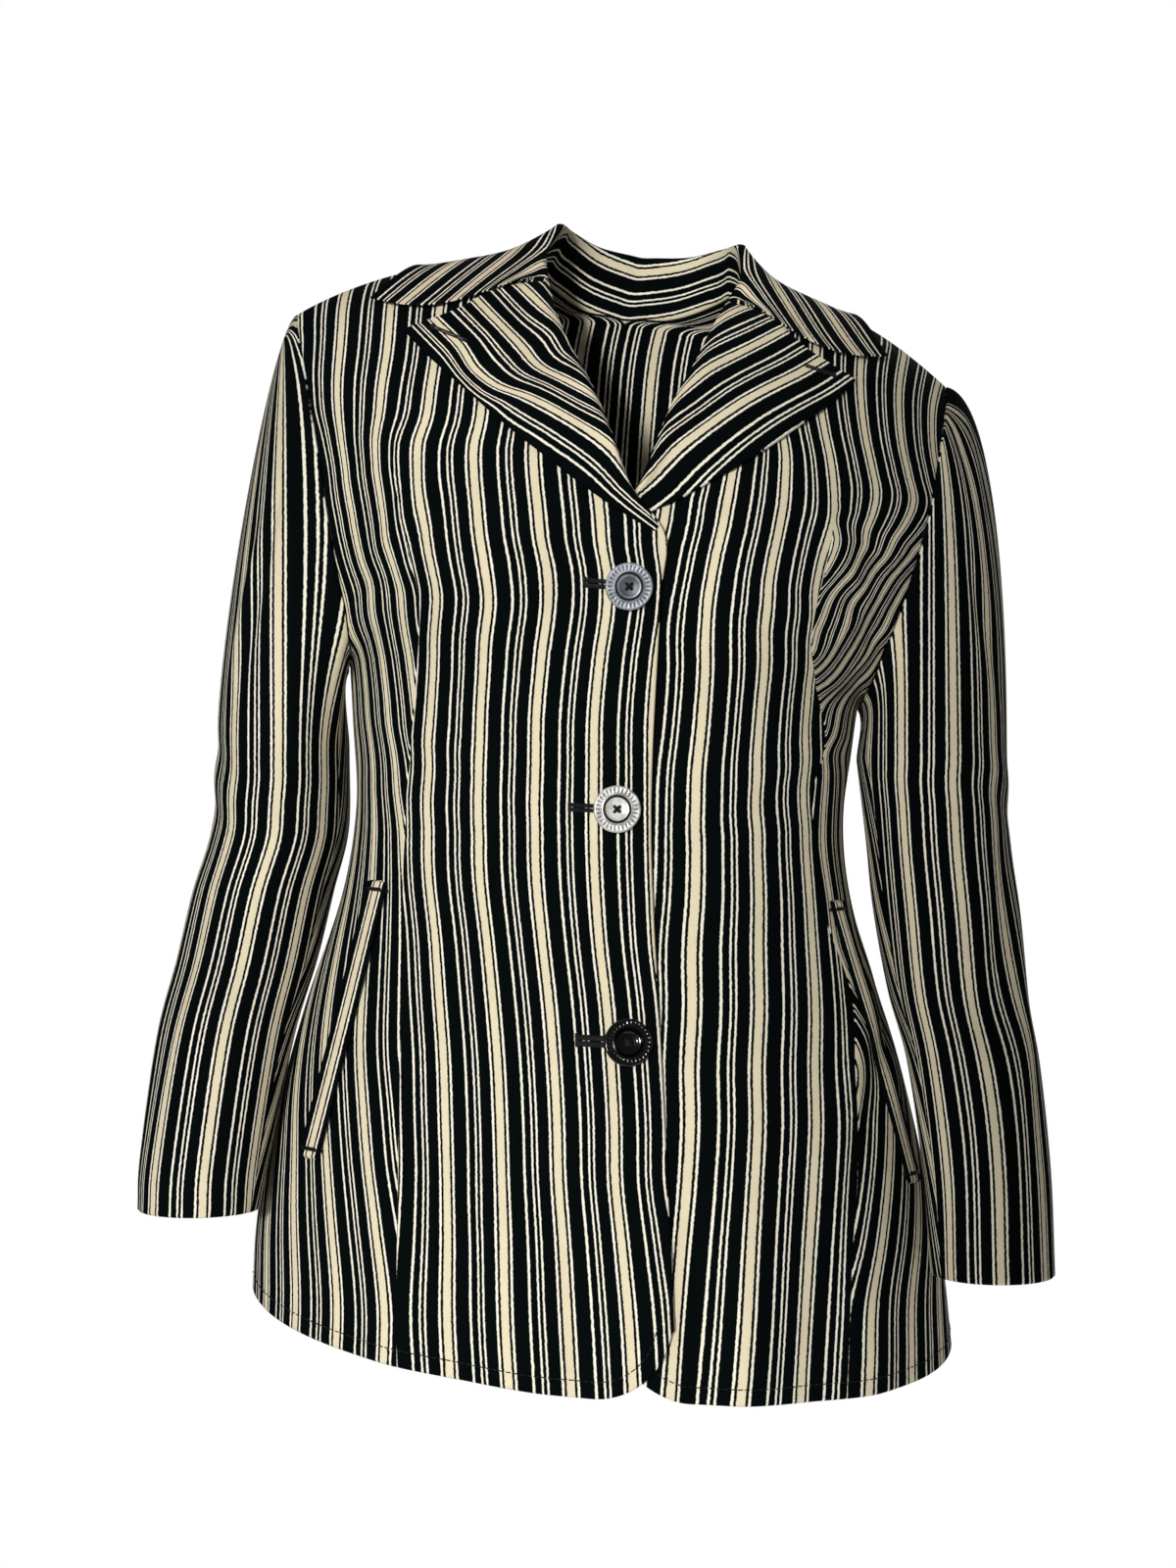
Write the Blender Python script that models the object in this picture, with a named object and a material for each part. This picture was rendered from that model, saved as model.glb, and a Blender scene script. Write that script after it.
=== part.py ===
"""A women's single-breasted blazer, hollow as it is when worn, built from its cut pieces.

Lengths in the tables are millimetres; meshes are made in metres. The wearer's right is at -X, the front
faces -Y and +Z is up. The origin is between the shoulders, where the jacket is held.

Every piece is first shaped in the garment's own upright, even frame. `stance` then leans, turns and shifts
it by height, which gives the uneven shoulders, waist and hem of the way it is worn.
"""

import math

import bpy
import numpy as np
from mathutils import Vector

MM = 0.001
CLOTH = 1.6  # one layer with its seam allowance pressed
DOUBLE = 2.2  # collar, lapel and welt, two layers and a stiffening
SEAM = 0.3  # gap between two pieces that are sewn together
SIDE_GAP = 0.0007  # half a seam's gap as a share of a row round the body
OVERLAP = 17.0  # how far each front edge reaches past the centre
LAP = 4.0  # the under front lies this far inside the upper one
LAP_END, LAP_FADE = 58.0, 36.0  # from the centre to where it is back on the surface, and over what width
LAP_TOP, LAP_TOP_FADE = -96.0, 24.0  # and up to this height
CROSSING = (-128.0, 22.0, 2.8)  # where the lapels cross: height, spread, and how much deeper it is there
EDGE_CALM = 22.0  # width over which the folds fade in beside the front edge
LAPEL_GAP = 1.2  # air between a lapel and the cloth below it
COLLAR_GAP = 2.8  # air below the fall of the collar
WELT_GAP = 1.1

HOLE_RADIUS = 1.0
HOLE_SPREAD = 2.3  # from the button's centre to a hole's
HOLE_CUT, HOLE_CUT_HEIGHT = 12.0, 1.5  # the drill's length and middle
BUTTON_CREASE = 40  # degrees
BUTTONS = (  # name, height on the front edge's centre line, sideways shift
    ("button_top", -171.0, 0.0),
    ("button_middle", -288.0, -1.0),
    ("button_bottom", -409.0, 0.0),
)

# How the jacket stands, by height: sideways shift, rise per mm to the wearer's left, turn to the left
STANCE = (  # z, shift, slope, turn in degrees
    (-600, -14, -0.092, 8.0),
    (-475, -17, -0.055, 7.5),
    (-400, -17, -0.045, 6.5),
    (-300, -16, -0.050, 5.0),
    (-180, -10, -0.085, 4.0),
    (-110, -5, -0.100, 3.5),
    (-60, -3, -0.105, 3.2),
    (-20, 0, -0.105, 3.0),
    (12, 8, -0.105, 3.0),
    (45, 17, -0.105, 3.0),
)

# Rows of a front panel, hem first: inner end (front edge, then roll line), outer end (side, then armhole)
# and how many degrees the row turns on its way round the body
FRONT_ROWS = (  # x_in, y_in, z_in, x_out, y_out, z_out, turn
    (-17, -150, -592, 195, -15, -566, 90),
    (-17, -148, -536, 191, -14, -524, 90),
    (-17, -143, -472, 179, -12, -463, 90),
    (-17, -135, -409, 163, -12, -403, 90),
    (-17, -122, -345, 143, -10, -342, 90),
    (-17, -113, -295, 136, -8, -294, 90),
    (-17, -114, -250, 139, -3, -253, 90),
    (-17, -120, -208, 142, 0, -222, 88),
    (-17, -124, -172, 143, -40, -207, 74),
    (-17, -125, -142, 149, -56, -182, 64),
    (2, -121, -118, 157, -60, -152, 58),
    (12, -114, -92, 164, -56, -122, 55),
    (22, -102, -68, 170, -47, -94, 52),
    (34, -84, -45, 175, -32, -69, 48),
    (45, -56, -19, 180, -12, -48, 40),
    (53, -23, 2, 182.5, 2, -37, 32),
    (58, 8, 12, 183, 12, -30, 26),
)

# Rows of a back panel in the same way, from the centre seam and then the back neck to the side and armhole
BACK_ROWS = (
    (0, 124, -592, 195, -15, -566, 90),
    (0, 123, -536, 191, -14, -524, 90),
    (0, 118, -472, 179, -12, -463, 90),
    (0, 103, -409, 163, -12, -403, 90),
    (0, 84, -345, 143, -10, -342, 90),
    (0, 77, -295, 136, -8, -294, 90),
    (0, 83, -250, 139, -3, -253, 90),
    (0, 93, -208, 142, 0, -222, 88),
    (0, 100, -172, 150, 42, -202, 74),
    (0, 104, -140, 160, 62, -172, 62),
    (0, 103, -106, 168, 68, -138, 54),
    (0, 97, -72, 173, 66, -106, 48),
    (0, 83, -38, 178, 54, -76, 44),
    (0, 66, -8, 181, 36, -53, 38),
    (28, 60, -3, 182.5, 22, -39, 32),
    (50, 38, 6, 183, 16, -33, 28),
    (58, 8, 12, 183, 12, -30, 26),
)

HEM_HEIGHT = -592.0
CORNER_RADIUS = 46.0  # the rounded lower front corner
CORNER_STEEPEST = 0.985  # the corner's curve ends just short of upright
CORNER_FADE = 130.0  # rows up to this far above the hem follow the corner a little
CORNER_FADE_POWER = 1.5

# Lapel outline in front view: the roll line and the free edge, break first, and how the top runs
LAPEL_EDGE = (  # x, z
    (-17, -143.5),
    (8, -131),
    (28, -119),
    (45, -107.5),
    (62, -95.5),
    (79, -82),
    (96, -67.5),
    (110, -55),
    (121, -43),
)
LAPEL_ROLL = (
    (-17, -142),
    (2, -118),
    (12, -92),
    (22, -68),
    (34, -45),
    (45, -19),
    (49.5, -7),
)
GORGE = (  # x, z of the seam between lapel and collar, from the roll line to the notch
    (49.5, -7),
    (64, -10),
    (78, -16),
    (90, -26.5),
)

# The collar's three long lines from the centre back round to the front end
COLLAR_SEAM = (  # x, y, z of the neck seam, where the stand begins
    (0, 65.5, -7),
    (28, 59.5, -2),
    (49.5, 37.5, 7),
    (57.3, 8, 13),
    (52.5, -20, 4.5),
    (46.5, -39, -4),
)
COLLAR_FOLD = (
    (0, 57, 30),
    (24, 51, 32),
    (42, 31, 36),
    (49, 7, 35),
    (52, -16, 19),
    (49, -39, 1),
)
COLLAR_EDGE = (
    (0, 100, -30),
    (44, 93, -29),
    (84, 66, -20),
    (110, 27, -6),
    (127, -14, -10),
    (141, -44, -26),
)
COLLAR_POINT = (  # x, z of the free front end, from the notch to the point
    (124, -33),
    (141, -26),
)
COLLAR_ROLL = 3.6
ROLL_LEAST = 1.7
ROLL_SHARE = 0.42  # the roll's radius as a share of the stand's height
ROLL_ANGLES = (128, 76, 24)  # points on the roll, in degrees above the fall's way out
COLLAR_END_POWER = 5  # how late the rows turn to run with the lapel's top
FALL_BULGE = 2.0  # how far the fall stands off a straight line from its roll to its edge
BULGE_WAY = (0.5, 0.85)  # outwards and upwards

# Sleeve sections in the worn frame from the upper arm to the cuff: centre, half width, half depth
SLEEVE_RIGHT_ROWS = (  # z, x, y, half_width, half_depth
    (-255, -193.5, 6, 37.0, 58),
    (-300, -195.5, 9, 38.5, 56),
    (-335, -204.5, 4, 39.5, 54),
    (-372, -211.5, -16, 39.0, 50),
    (-412, -220.0, -46, 37.5, 45),
    (-475, -228.5, -70, 35.0, 42),
    (-502, -230.5, -78, 33.2, 40),
)
SLEEVE_LEFT_ROWS = (
    (-262, 171.5, 6, 42.0, 58),
    (-307, 175.0, 9, 40.0, 56),
    (-345, 178.5, 4, 40.0, 54),
    (-390, 183.0, -16, 38.0, 50),
    (-426, 188.5, -46, 36.0, 45),
    (-482, 193.0, -70, 34.3, 42),
    (-537, 195.0, -80, 33.2, 40),
)
HEAD_RINGS = 8
SLEEVE_RINGS = 10
CAP_REACH_RIGHT = 42.0  # how strongly the sleeve head springs out before it falls
CAP_REACH_LEFT = 95.0
CAP_DROP = 22.0
UNDERARM_LEAVE = (14.0, -24.0)  # how the sleeve leaves the underarm: out and up
CAP_ARRIVE = 0.8  # how straight its lines run into the first section
HEAD_SPACING = 0.9  # rings of the head, a little closer together at the armhole
SLEEVE_GAP = 1.3  # along the sleeve head, which leaves the shoulder at an angle

ROWS_BELOW = 9  # rows of a panel's grid from the hem to the underarm, and from there to the shoulder
ROWS_ABOVE = 13
FRONT_COLUMNS = 16
BACK_COLUMNS = 11
UNDERARM_ROW = 7  # of the 16 steps in the row tables
CENTRE_SEAM_ROWS = 17  # rows of a back panel that end on the centre seam, the rest end on the neck
FINE_ROWS = (40, 60)  # a finer grid of the same panels, to lay the other pieces on
FINE_COLUMNS = 60
LAPEL_ROWS, LAPEL_COLUMNS = 14, 7
LAPEL_TOP_POWER = 4  # how late the rows turn to follow the lapel's top
UNDER_LAPEL_START = 0.1  # the under lapel begins above the crossing
LIFT_PASSES = 4
LIFT_SIDEWAYS = 0.5  # a lifted point also keeps to its own way out
COLLAR_ROWS = 18  # of half the collar
WELT_ROWS = 10
SHANK = 2.0  # thread between a button and the cloth

# Soft folds of a front, as ridges (+) and troughs (-) in front view
FRONT_FOLDS = (  # x, z, run in degrees from level, half length, half width, depth
    (78, -178, 90, 42, 44, 13.0),  # bust fullness, taken in by the long dart
    (118, -150, -62, 42, 9, 2.6),
    (132, -176, -50, 30, 8, -2.4),
    (60, -560, 84, 60, 16, 3.5),
    (28, -565, 90, 60, 12, -3.0),
    (96, -566, 86, 55, 14, -2.4),
    (128, -560, 88, 60, 15, 3.4),
    (42, -296, 12, 40, 8, -1.6),
    (88, -262, 20, 36, 9, 1.6),
)
BACK_FOLDS = (
    (72, -105, 84, 60, 30, 6.0),  # shoulder blade
    (60, -560, 90, 60, 18, 4.0),
    (110, -562, 90, 60, 16, -3.0),
    (50, -300, 8, 44, 9, -2.0),
)

WELT_LINE = (  # x, z from the top to the lower end of a pocket welt's centre line, in front view
    (123.5, -334),
    (163, -482),
)
WELT_HALF_WIDTH = 5.2  # in front view; 21 mm all across, as the side turns away there

CLOTH_COLOUR = (0.16, 0.15, 0.13, 1.0)
BUTTON_FINISH = {  # colour, metallic, roughness
    "button_top": ((0.20, 0.20, 0.21, 1.0), 0.8, 0.42),
    "button_middle": ((0.55, 0.54, 0.53, 1.0), 0.9, 0.3),
    "button_bottom": ((0.012, 0.012, 0.014, 1.0), 0.2, 0.12),
}


def smooth(knots, rows, at):
    """A smooth curve through rows of values at rising knots."""
    knots = np.asarray(knots, float)
    rows = np.asarray(rows, float)
    slopes = np.gradient(rows, knots, axis=0)
    at = np.clip(np.asarray(at, float), knots[0], knots[-1])
    i = np.clip(np.searchsorted(knots, at, side="right") - 1, 0, len(knots) - 2)
    step = knots[i + 1] - knots[i]
    t = (at - knots[i]) / step
    if rows.ndim > 1:
        t = t[..., None]
        step = step[..., None]
    rise = t * t * (3 - 2 * t)
    return (
        rows[i] * (1 - rise)
        + rows[i + 1] * rise
        + slopes[i] * step * t * (1 - t) ** 2
        - slopes[i + 1] * step * t * t * (1 - t)
    )


def along(points, count, start=0.0):
    """Evenly spaced points along a smooth line through the given ones, from a share of its length on."""
    points = np.asarray(points, float)
    length = np.concatenate([[0], np.cumsum(np.linalg.norm(np.diff(points, axis=0), axis=1))])
    return smooth(length, points, np.linspace(start, 1, count) * length[-1])


def stance(points):
    """Lean, turn and shift garment points to the way the jacket is worn."""
    table = np.array(STANCE, float)
    held = smooth(table[:, 0], table[:, 1:], points[..., 2])
    shift, slope, turn = held[..., 0], held[..., 1], np.radians(held[..., 2])
    x = points[..., 0] * np.cos(turn) - points[..., 1] * np.sin(turn)
    y = points[..., 0] * np.sin(turn) + points[..., 1] * np.cos(turn)
    return np.stack([x + shift, y, points[..., 2] + slope * x], axis=-1)


def normals(grid, wrap=False):
    """Unit normals of a grid of points, rows by columns."""
    if wrap:
        across = np.roll(grid, -1, axis=1) - np.roll(grid, 1, axis=1)
    else:
        across = np.gradient(grid, axis=1)
    up = np.gradient(grid, axis=0)
    n = np.cross(across, up)
    return n / np.maximum(np.linalg.norm(n, axis=-1, keepdims=True), 1e-9)


def corner_rise(from_edge):
    """How far the hem climbs in the round front corner, by distance from the front edge."""
    inside = np.clip((CORNER_RADIUS - from_edge) / CORNER_RADIUS, 0, CORNER_STEEPEST)
    return CORNER_RADIUS * (1 - np.sqrt(1 - inside**2))


def panel(rows, across, up, rounded=False):
    """A panel's outer face in the garment frame: rows that each turn round the body by their own angle."""
    rows = np.array(rows, float)
    knots = np.arange(len(rows))
    at = up * (len(rows) - 1)
    row = smooth(knots, rows, at)
    below, above = slice(None, UNDERARM_ROW + 1), slice(UNDERARM_ROW, None)
    outer = slice(3, None)
    row[:, outer] = np.where(
        (at <= UNDERARM_ROW)[:, None],
        smooth(knots[below], rows[below], at)[:, outer],
        smooth(knots[above], rows[above], at)[:, outer],
    )
    x_in, y_in, z_in, x_out, y_out, z_out, turn = (column[:, None] for column in row.T)
    turn = np.radians(np.minimum(turn, 90))
    flat_at = np.maximum(x_in, 0)  # where the row faces straight ahead
    radius = (x_out - flat_at) / np.sin(turn)
    first = -np.arcsin((flat_at - x_in) / radius)
    angle = first + (turn - first) * across[None, :]
    x = flat_at + radius * np.sin(angle)
    y = y_in + (y_out - y_in) * (1 - np.cos(angle)) / (1 - np.cos(turn))
    z = z_in + (z_out - z_in) * across[None, :] ** 2
    if rounded:
        fade = np.clip(1 - (z - HEM_HEIGHT) / CORNER_FADE, 0, 1) ** CORNER_FADE_POWER
        z = z + corner_rise(x + OVERLAP) * fade
    return np.stack([x, y, z], axis=-1)


def folded(grid, folds, calm=0.0):
    """Move a grid out and in by its table of soft folds, placed in front view, none within `calm` of x = 0."""
    out = normals(grid)
    depth = np.zeros(grid.shape[:2])
    for x, z, run, half_length, half_width, height in folds:
        c, s = math.cos(math.radians(run)), math.sin(math.radians(run))
        lengthwise = ((grid[..., 0] - x) * c + (grid[..., 2] - z) * s) / half_length
        sideways = (-(grid[..., 0] - x) * s + (grid[..., 2] - z) * c) / half_width
        depth += height * np.exp(-(lengthwise**2) - sideways**2)
    depth *= np.clip((grid[..., 0] - calm) / EDGE_CALM, 0, 1)
    return grid + out * depth[..., None]


def mirror(grid):
    """The same grid on the other side of the centre, its normals still pointing out."""
    return grid[:, ::-1] * np.array([-1.0, 1.0, 1.0])


def inner_face(outer, thickness, seams=(), wrap=False):
    """The inner face of a wall. Along a seam its offset is square to one axis, so both pieces agree."""
    out = normals(outer, wrap)
    for where, axis in seams:
        out[where + (axis,)] = 0
        out[where] /= np.linalg.norm(out[where], axis=-1, keepdims=True)
    return outer - out * thickness


def wall(name, outer, inner, material, wrap=False):
    """A closed solid between two grids of points, rows by columns, the outer one's normals pointing out."""
    rows, cols = outer.shape[:2]
    points = np.concatenate([outer.reshape(-1, 3), inner.reshape(-1, 3)]) * MM
    size = rows * cols

    def at(r, c, layer):
        return layer * size + r * cols + c % cols

    faces = []
    spans = cols if wrap else cols - 1
    for r in range(rows - 1):
        for c in range(spans):
            faces.append((at(r, c, 0), at(r, c + 1, 0), at(r + 1, c + 1, 0), at(r + 1, c, 0)))
            faces.append((at(r, c, 1), at(r + 1, c, 1), at(r + 1, c + 1, 1), at(r, c + 1, 1)))
    for c in range(spans):
        faces.append((at(0, c, 0), at(0, c, 1), at(0, c + 1, 1), at(0, c + 1, 0)))
        last = rows - 1
        faces.append((at(last, c, 0), at(last, c + 1, 0), at(last, c + 1, 1), at(last, c, 1)))
    if not wrap:
        for r in range(rows - 1):
            last = cols - 1
            faces.append((at(r, 0, 0), at(r + 1, 0, 0), at(r + 1, 0, 1), at(r, 0, 1)))
            faces.append((at(r, last, 0), at(r, last, 1), at(r + 1, last, 1), at(r + 1, last, 0)))
    mesh = bpy.data.meshes.new(name)
    mesh.from_pydata(points.tolist(), [], faces)
    mesh.materials.append(material)
    mesh.shade_smooth()
    ob = bpy.data.objects.new(name, mesh)
    bpy.context.scene.collection.objects.link(ob)
    return ob


def finish(name, colour, metallic, roughness):
    """One piece's own material."""
    material = bpy.data.materials.new(name)
    material.use_nodes = True
    shader = material.node_tree.nodes["Principled BSDF"]
    shader.inputs["Base Color"].default_value = colour
    shader.inputs["Metallic"].default_value = metallic
    shader.inputs["Roughness"].default_value = roughness
    return material


def cloth(name):
    return finish(name, CLOTH_COLOUR, 0.0, 0.85)


def grid_up(below, above):
    """Row positions of a panel, with one exactly at the underarm."""
    share = UNDERARM_ROW / (len(FRONT_ROWS) - 1)
    return np.concatenate([np.linspace(0, share, below), np.linspace(share, 1, above)[1:]])


def grid_across(count, start_gap=0.0):
    """Column positions of a panel, closer together at both ends, just short of the side seam."""
    t = np.linspace(0, 1, count)
    eased = 0.5 * t + 0.25 * (1 - np.cos(np.pi * t))
    return start_gap + (1 - SIDE_GAP - start_gap) * eased


def front_grid(across, up):
    """The outer face of the wearer's left front in the garment frame."""
    return folded(panel(FRONT_ROWS, across, up, rounded=True), FRONT_FOLDS, calm=OVERLAP)


def under_front(grid):
    """The under front, pressed in where the other one laps over it, most where the lapels cross."""
    fade = np.clip((LAP_END - grid[..., 0]) / LAP_FADE, 0, 1)
    fade = fade * fade * (3 - 2 * fade)
    low = np.clip((LAP_TOP - grid[..., 2]) / LAP_TOP_FADE, 0, 1)
    height, spread, deeper = CROSSING
    depth = LAP + deeper * np.exp(-(((grid[..., 2] - height) / spread) ** 2))
    return grid - normals(grid) * (depth * fade * low)[..., None]


def nearest_on(surface, xz):
    """Points and normals of a surface in the garment frame at places given in front view."""
    out = normals(surface)
    across = np.gradient(surface, axis=1).reshape(-1, 3)
    up = np.gradient(surface, axis=0).reshape(-1, 3)
    flat = surface.reshape(-1, 3)
    flat_out = out.reshape(-1, 3)
    shape = xz.shape[:-1]
    points, ways = [], []
    for x, z in xz.reshape(-1, 2):
        i = np.argmin((flat[:, 0] - x) ** 2 + (flat[:, 2] - z) ** 2)
        a, b = across[i], up[i]
        det = a[0] * b[2] - a[2] * b[0]
        dx, dz = x - flat[i, 0], z - flat[i, 2]
        s = (dx * b[2] - dz * b[0]) / det
        t = (a[0] * dz - a[2] * dx) / det
        points.append(flat[i] + a * s + b * t)
        ways.append(flat_out[i])
    return np.array(points).reshape(*shape, 3), np.array(ways).reshape(*shape, 3)


def lift_clear(points, out, below, gap):
    """Move points out until they clear the surfaces below them by the gap."""
    flat = np.concatenate([b.reshape(-1, 3) for b in below])
    flat_out = np.concatenate([normals(b).reshape(-1, 3) for b in below])
    moved = points.reshape(-1, 3).copy()
    ways = out.reshape(-1, 3)
    for _ in range(LIFT_PASSES):
        for i, p in enumerate(moved):
            near = np.argmin(((flat - p) ** 2).sum(axis=1))
            clear = float(np.dot(p - flat[near], flat_out[near]))
            if clear < gap:
                way = LIFT_SIDEWAYS * ways[i] + flat_out[near]
                moved[i] = p + way / np.linalg.norm(way) * (gap - clear)
    return moved.reshape(points.shape)


def lapel_grid(surface, rows, columns, first=0.0):
    """A lapel lying on its front: across from the roll line to the free edge, up from the break."""
    s = np.linspace(first, 1, rows)
    roll = along(LAPEL_ROLL, rows, first)
    edge = along(LAPEL_EDGE, rows, first)
    c = np.linspace(0, 1, columns)
    xz = roll[:, None] * (1 - c)[None, :, None] + edge[:, None] * c[None, :, None]
    top = along(GORGE + (LAPEL_EDGE[-1],), columns) - np.array([0, SEAM])
    straight = roll[-1] * (1 - c)[:, None] + edge[-1] * c[:, None]
    xz = xz + (top - straight)[None] * (s[:, None, None] ** LAPEL_TOP_POWER)
    points, out = nearest_on(surface, xz)
    lift = DOUBLE + LAPEL_GAP
    return points + out * lift


def collar_half(surface_front, surface_back, around, stand_columns=3, fall_columns=7):
    """Half of the collar from the centre back to its front end, across from neck seam to free edge."""
    seam, fold, edge = along(COLLAR_SEAM, around), along(COLLAR_FOLD, around), along(COLLAR_EDGE, around)
    outward = edge - fold
    outward[:, 2] = 0
    outward /= np.linalg.norm(outward, axis=1, keepdims=True)
    up = np.array([0, 0, 1.0])
    height = np.linalg.norm(fold - seam, axis=1)
    radius = np.clip(ROLL_SHARE * height, ROLL_LEAST, COLLAR_ROLL)[:, None]
    top = fold - up * radius
    columns = [seam + (top - seam) * t for t in np.linspace(0, 1, stand_columns)]
    centre = top + outward * radius
    for degrees in ROLL_ANGLES:
        a = math.radians(degrees)
        columns.append(centre + outward * radius * math.cos(a) + up * radius * math.sin(a))
    start = columns[-1]
    end_path = along(((fold[-1][0], fold[-1][2]),) + GORGE[1:] + COLLAR_POINT, fall_columns + 1)
    share = np.linspace(0, 1, around)[:, None] ** COLLAR_END_POWER
    for k in range(1, fall_columns + 1):
        t = k / fall_columns
        p = start + (edge - start) * t
        p = p + (outward * BULGE_WAY[0] + up * BULGE_WAY[1]) * FALL_BULGE * math.sin(math.pi * t)
        target = np.array([end_path[k][0], p[-1][1], end_path[k][1] + SEAM])
        p = p + (target - p[-1]) * share
        columns.append(p)
    grid = np.stack(columns, axis=1)
    on_front, out = nearest_on(surface_front, grid[-1, stand_columns + 1 :][:, [0, 2]])
    laid = on_front + out * (DOUBLE + LAPEL_GAP)
    grid[:, stand_columns + 1 :] += (laid - grid[-1, stand_columns + 1 :])[None] * share[:, :, None]
    fall = grid[:, stand_columns + 1 :]
    ways = -normals(grid)[:, stand_columns + 1 :]
    grid[:, stand_columns + 1 :] = lift_clear(
        fall, ways, (surface_front, surface_back), DOUBLE + COLLAR_GAP
    )
    return grid


def sleeve_grid(loop, table, side, reach):
    """A sleeve's outer face in the worn frame, rings from the armhole down to the cuff.

    The loop runs from the shoulder point by the front to the underarm and back up behind.
    Each of its points follows its own curve to the first section's ellipse.
    """
    rows = np.array(table, float)
    count = len(loop)
    half = count // 2
    step = np.linalg.norm(np.diff(np.vstack([loop, loop[:1]]), axis=0), axis=1)
    run = np.concatenate([[0], np.cumsum(step)])
    angle = np.where(
        np.arange(count) <= half,
        np.pi * run[:-1] / run[half],
        np.pi + np.pi * (run[:-1] - run[half]) / (run[-1] - run[half]),
    )

    def ring(row):
        z, x, y, half_width, half_depth = row
        cx, sy = np.cos(angle), np.sin(angle)
        return np.stack(
            [x + side * half_width * cx, y - half_depth * sy, np.full(count, z)], axis=-1
        )

    first = ring(rows[0])
    high = ((1 + np.cos(angle)) / 2)[:, None]
    out, up = UNDERARM_LEAVE
    leave = high * np.array([side * reach, 0, -CAP_DROP]) + (1 - high) * np.array([side * out, 0, up])
    fall = (loop[:, 2] - first[:, 2])[:, None]
    arrive = np.concatenate([np.zeros((count, 2)), -CAP_ARRIVE * fall], axis=1)
    start = loop + leave / np.linalg.norm(leave, axis=1, keepdims=True) * SLEEVE_GAP
    rings = []
    for t in np.linspace(0, 1, HEAD_RINGS) ** HEAD_SPACING:
        h00, h10 = 2 * t**3 - 3 * t**2 + 1, t**3 - 2 * t**2 + t
        h01, h11 = -2 * t**3 + 3 * t**2, t**3 - t**2
        rings.append(h00 * start + h10 * leave + h01 * first + h11 * arrive)
    down = np.linspace(0, 1, SLEEVE_RINGS + 1)[1:] * (len(rows) - 1)
    rings += [ring(row) for row in smooth(np.arange(len(rows)), rows, down)]
    grid = np.stack(rings)
    return grid if side > 0 else grid[:, ::-1]


def button_profile():
    """Half section of a button, axis first: dished middle, groove, raised ring, flat rim, round edge."""
    return (
        (0.0, 0.0),
        (0.0, 1.9),
        (3.4, 2.0),
        (6.2, 2.7),
        (6.8, 2.2),
        (7.6, 2.9),
        (8.2, 2.6),
        (11.7, 2.7),
        (12.5, 2.0),
        (12.3, 0.7),
        (10.6, 0.0),
    )


def button(name, centre, out, segments=30):
    """One four-hole button, its back on `centre` and its axis along `out`."""
    profile = button_profile()
    verts, faces = [], []
    ring_start = []
    for radius, height in profile:
        ring_start.append(len(verts))
        if radius == 0.0:
            verts.append((0.0, 0.0, height))
            continue
        for i in range(segments):
            a = 2 * math.pi * i / segments
            verts.append((radius * math.cos(a), radius * math.sin(a), height))
    last = ring_start[-1]
    for k in range(1, len(profile) - 1):
        a, b = ring_start[k], ring_start[k + 1]
        for i in range(segments):
            j = (i + 1) % segments
            if profile[k][0] == 0.0:
                faces.append((a, b + i, b + j))
            else:
                faces.append((a + i, b + i, b + j, a + j))
    for i in range(segments):
        faces.append((0, last + (i + 1) % segments, last + i))
    mesh = bpy.data.meshes.new(name)
    mesh.from_pydata([tuple(c * MM for c in v) for v in verts], [], faces)
    colour, metallic, roughness = BUTTON_FINISH[name]
    mesh.materials.append(finish(name, colour, metallic, roughness))
    mesh.shade_smooth()
    mesh.set_sharp_from_angle(angle=math.radians(BUTTON_CREASE))
    ob = bpy.data.objects.new(name, mesh)
    bpy.context.scene.collection.objects.link(ob)
    ob.location = Vector(centre) * MM
    ob.rotation_mode = "QUATERNION"
    ob.rotation_quaternion = Vector(out).to_track_quat("Z", "Y")
    for k in range(4):
        a = math.radians(45 + 90 * k)
        hole(ob, HOLE_SPREAD * math.cos(a), HOLE_SPREAD * math.sin(a))
    return ob


def hole(ob, x, y, sides=10):
    """Cut one thread hole through a button."""
    bpy.ops.mesh.primitive_cylinder_add(vertices=sides, radius=HOLE_RADIUS * MM, depth=HOLE_CUT * MM)
    cutter = bpy.context.object
    cutter.name = f"{ob.name}_hole"
    cutter.parent = ob
    cutter.location = (x * MM, y * MM, HOLE_CUT_HEIGHT * MM)
    cutter.hide_render = True
    cutter.display_type = "WIRE"
    cut = ob.modifiers.new("hole", "BOOLEAN")
    cut.operation = "DIFFERENCE"
    cut.object = cutter


def posed_place(grid, x, z):
    """A worn place and its outward way on a surface given in the garment frame."""
    point, out = nearest_on(grid, np.array([[x, z]], float))
    here = stance(point)[0]
    ahead = stance(point + out)[0]
    way = ahead - here
    return here, way / np.linalg.norm(way)


def back_grid(across, up):
    """The outer face of the left back in the garment frame, from the side to the centre seam."""
    grid = folded(panel(BACK_ROWS, across, up)[:, ::-1], BACK_FOLDS)
    grid[..., 0] = np.maximum(grid[..., 0], SEAM / 2)
    return grid


def worn_wall(name, outer, inner):
    """A cloth piece's solid, its two faces given in the garment frame."""
    wall(name, stance(outer), stance(inner), cloth(name))


def build_panels(front, under, back):
    """Both fronts and both backs."""
    side, shoulder = slice(None, ROWS_BELOW), (-1, slice(None))
    front_seams = ((shoulder, 1), ((side, -1), 1))
    back_seams = ((shoulder, 1), ((side, 0), 1), ((slice(None, CENTRE_SEAM_ROWS), -1), 0))
    inner = inner_face(front, CLOTH, front_seams)
    worn_wall("front_right", mirror(front), mirror(inner))
    worn_wall("front_left", under, inner_face(under, CLOTH, front_seams))
    inner = inner_face(back, CLOTH, back_seams)
    worn_wall("back_left", back, inner)
    worn_wall("back_right", mirror(back), mirror(inner))


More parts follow.
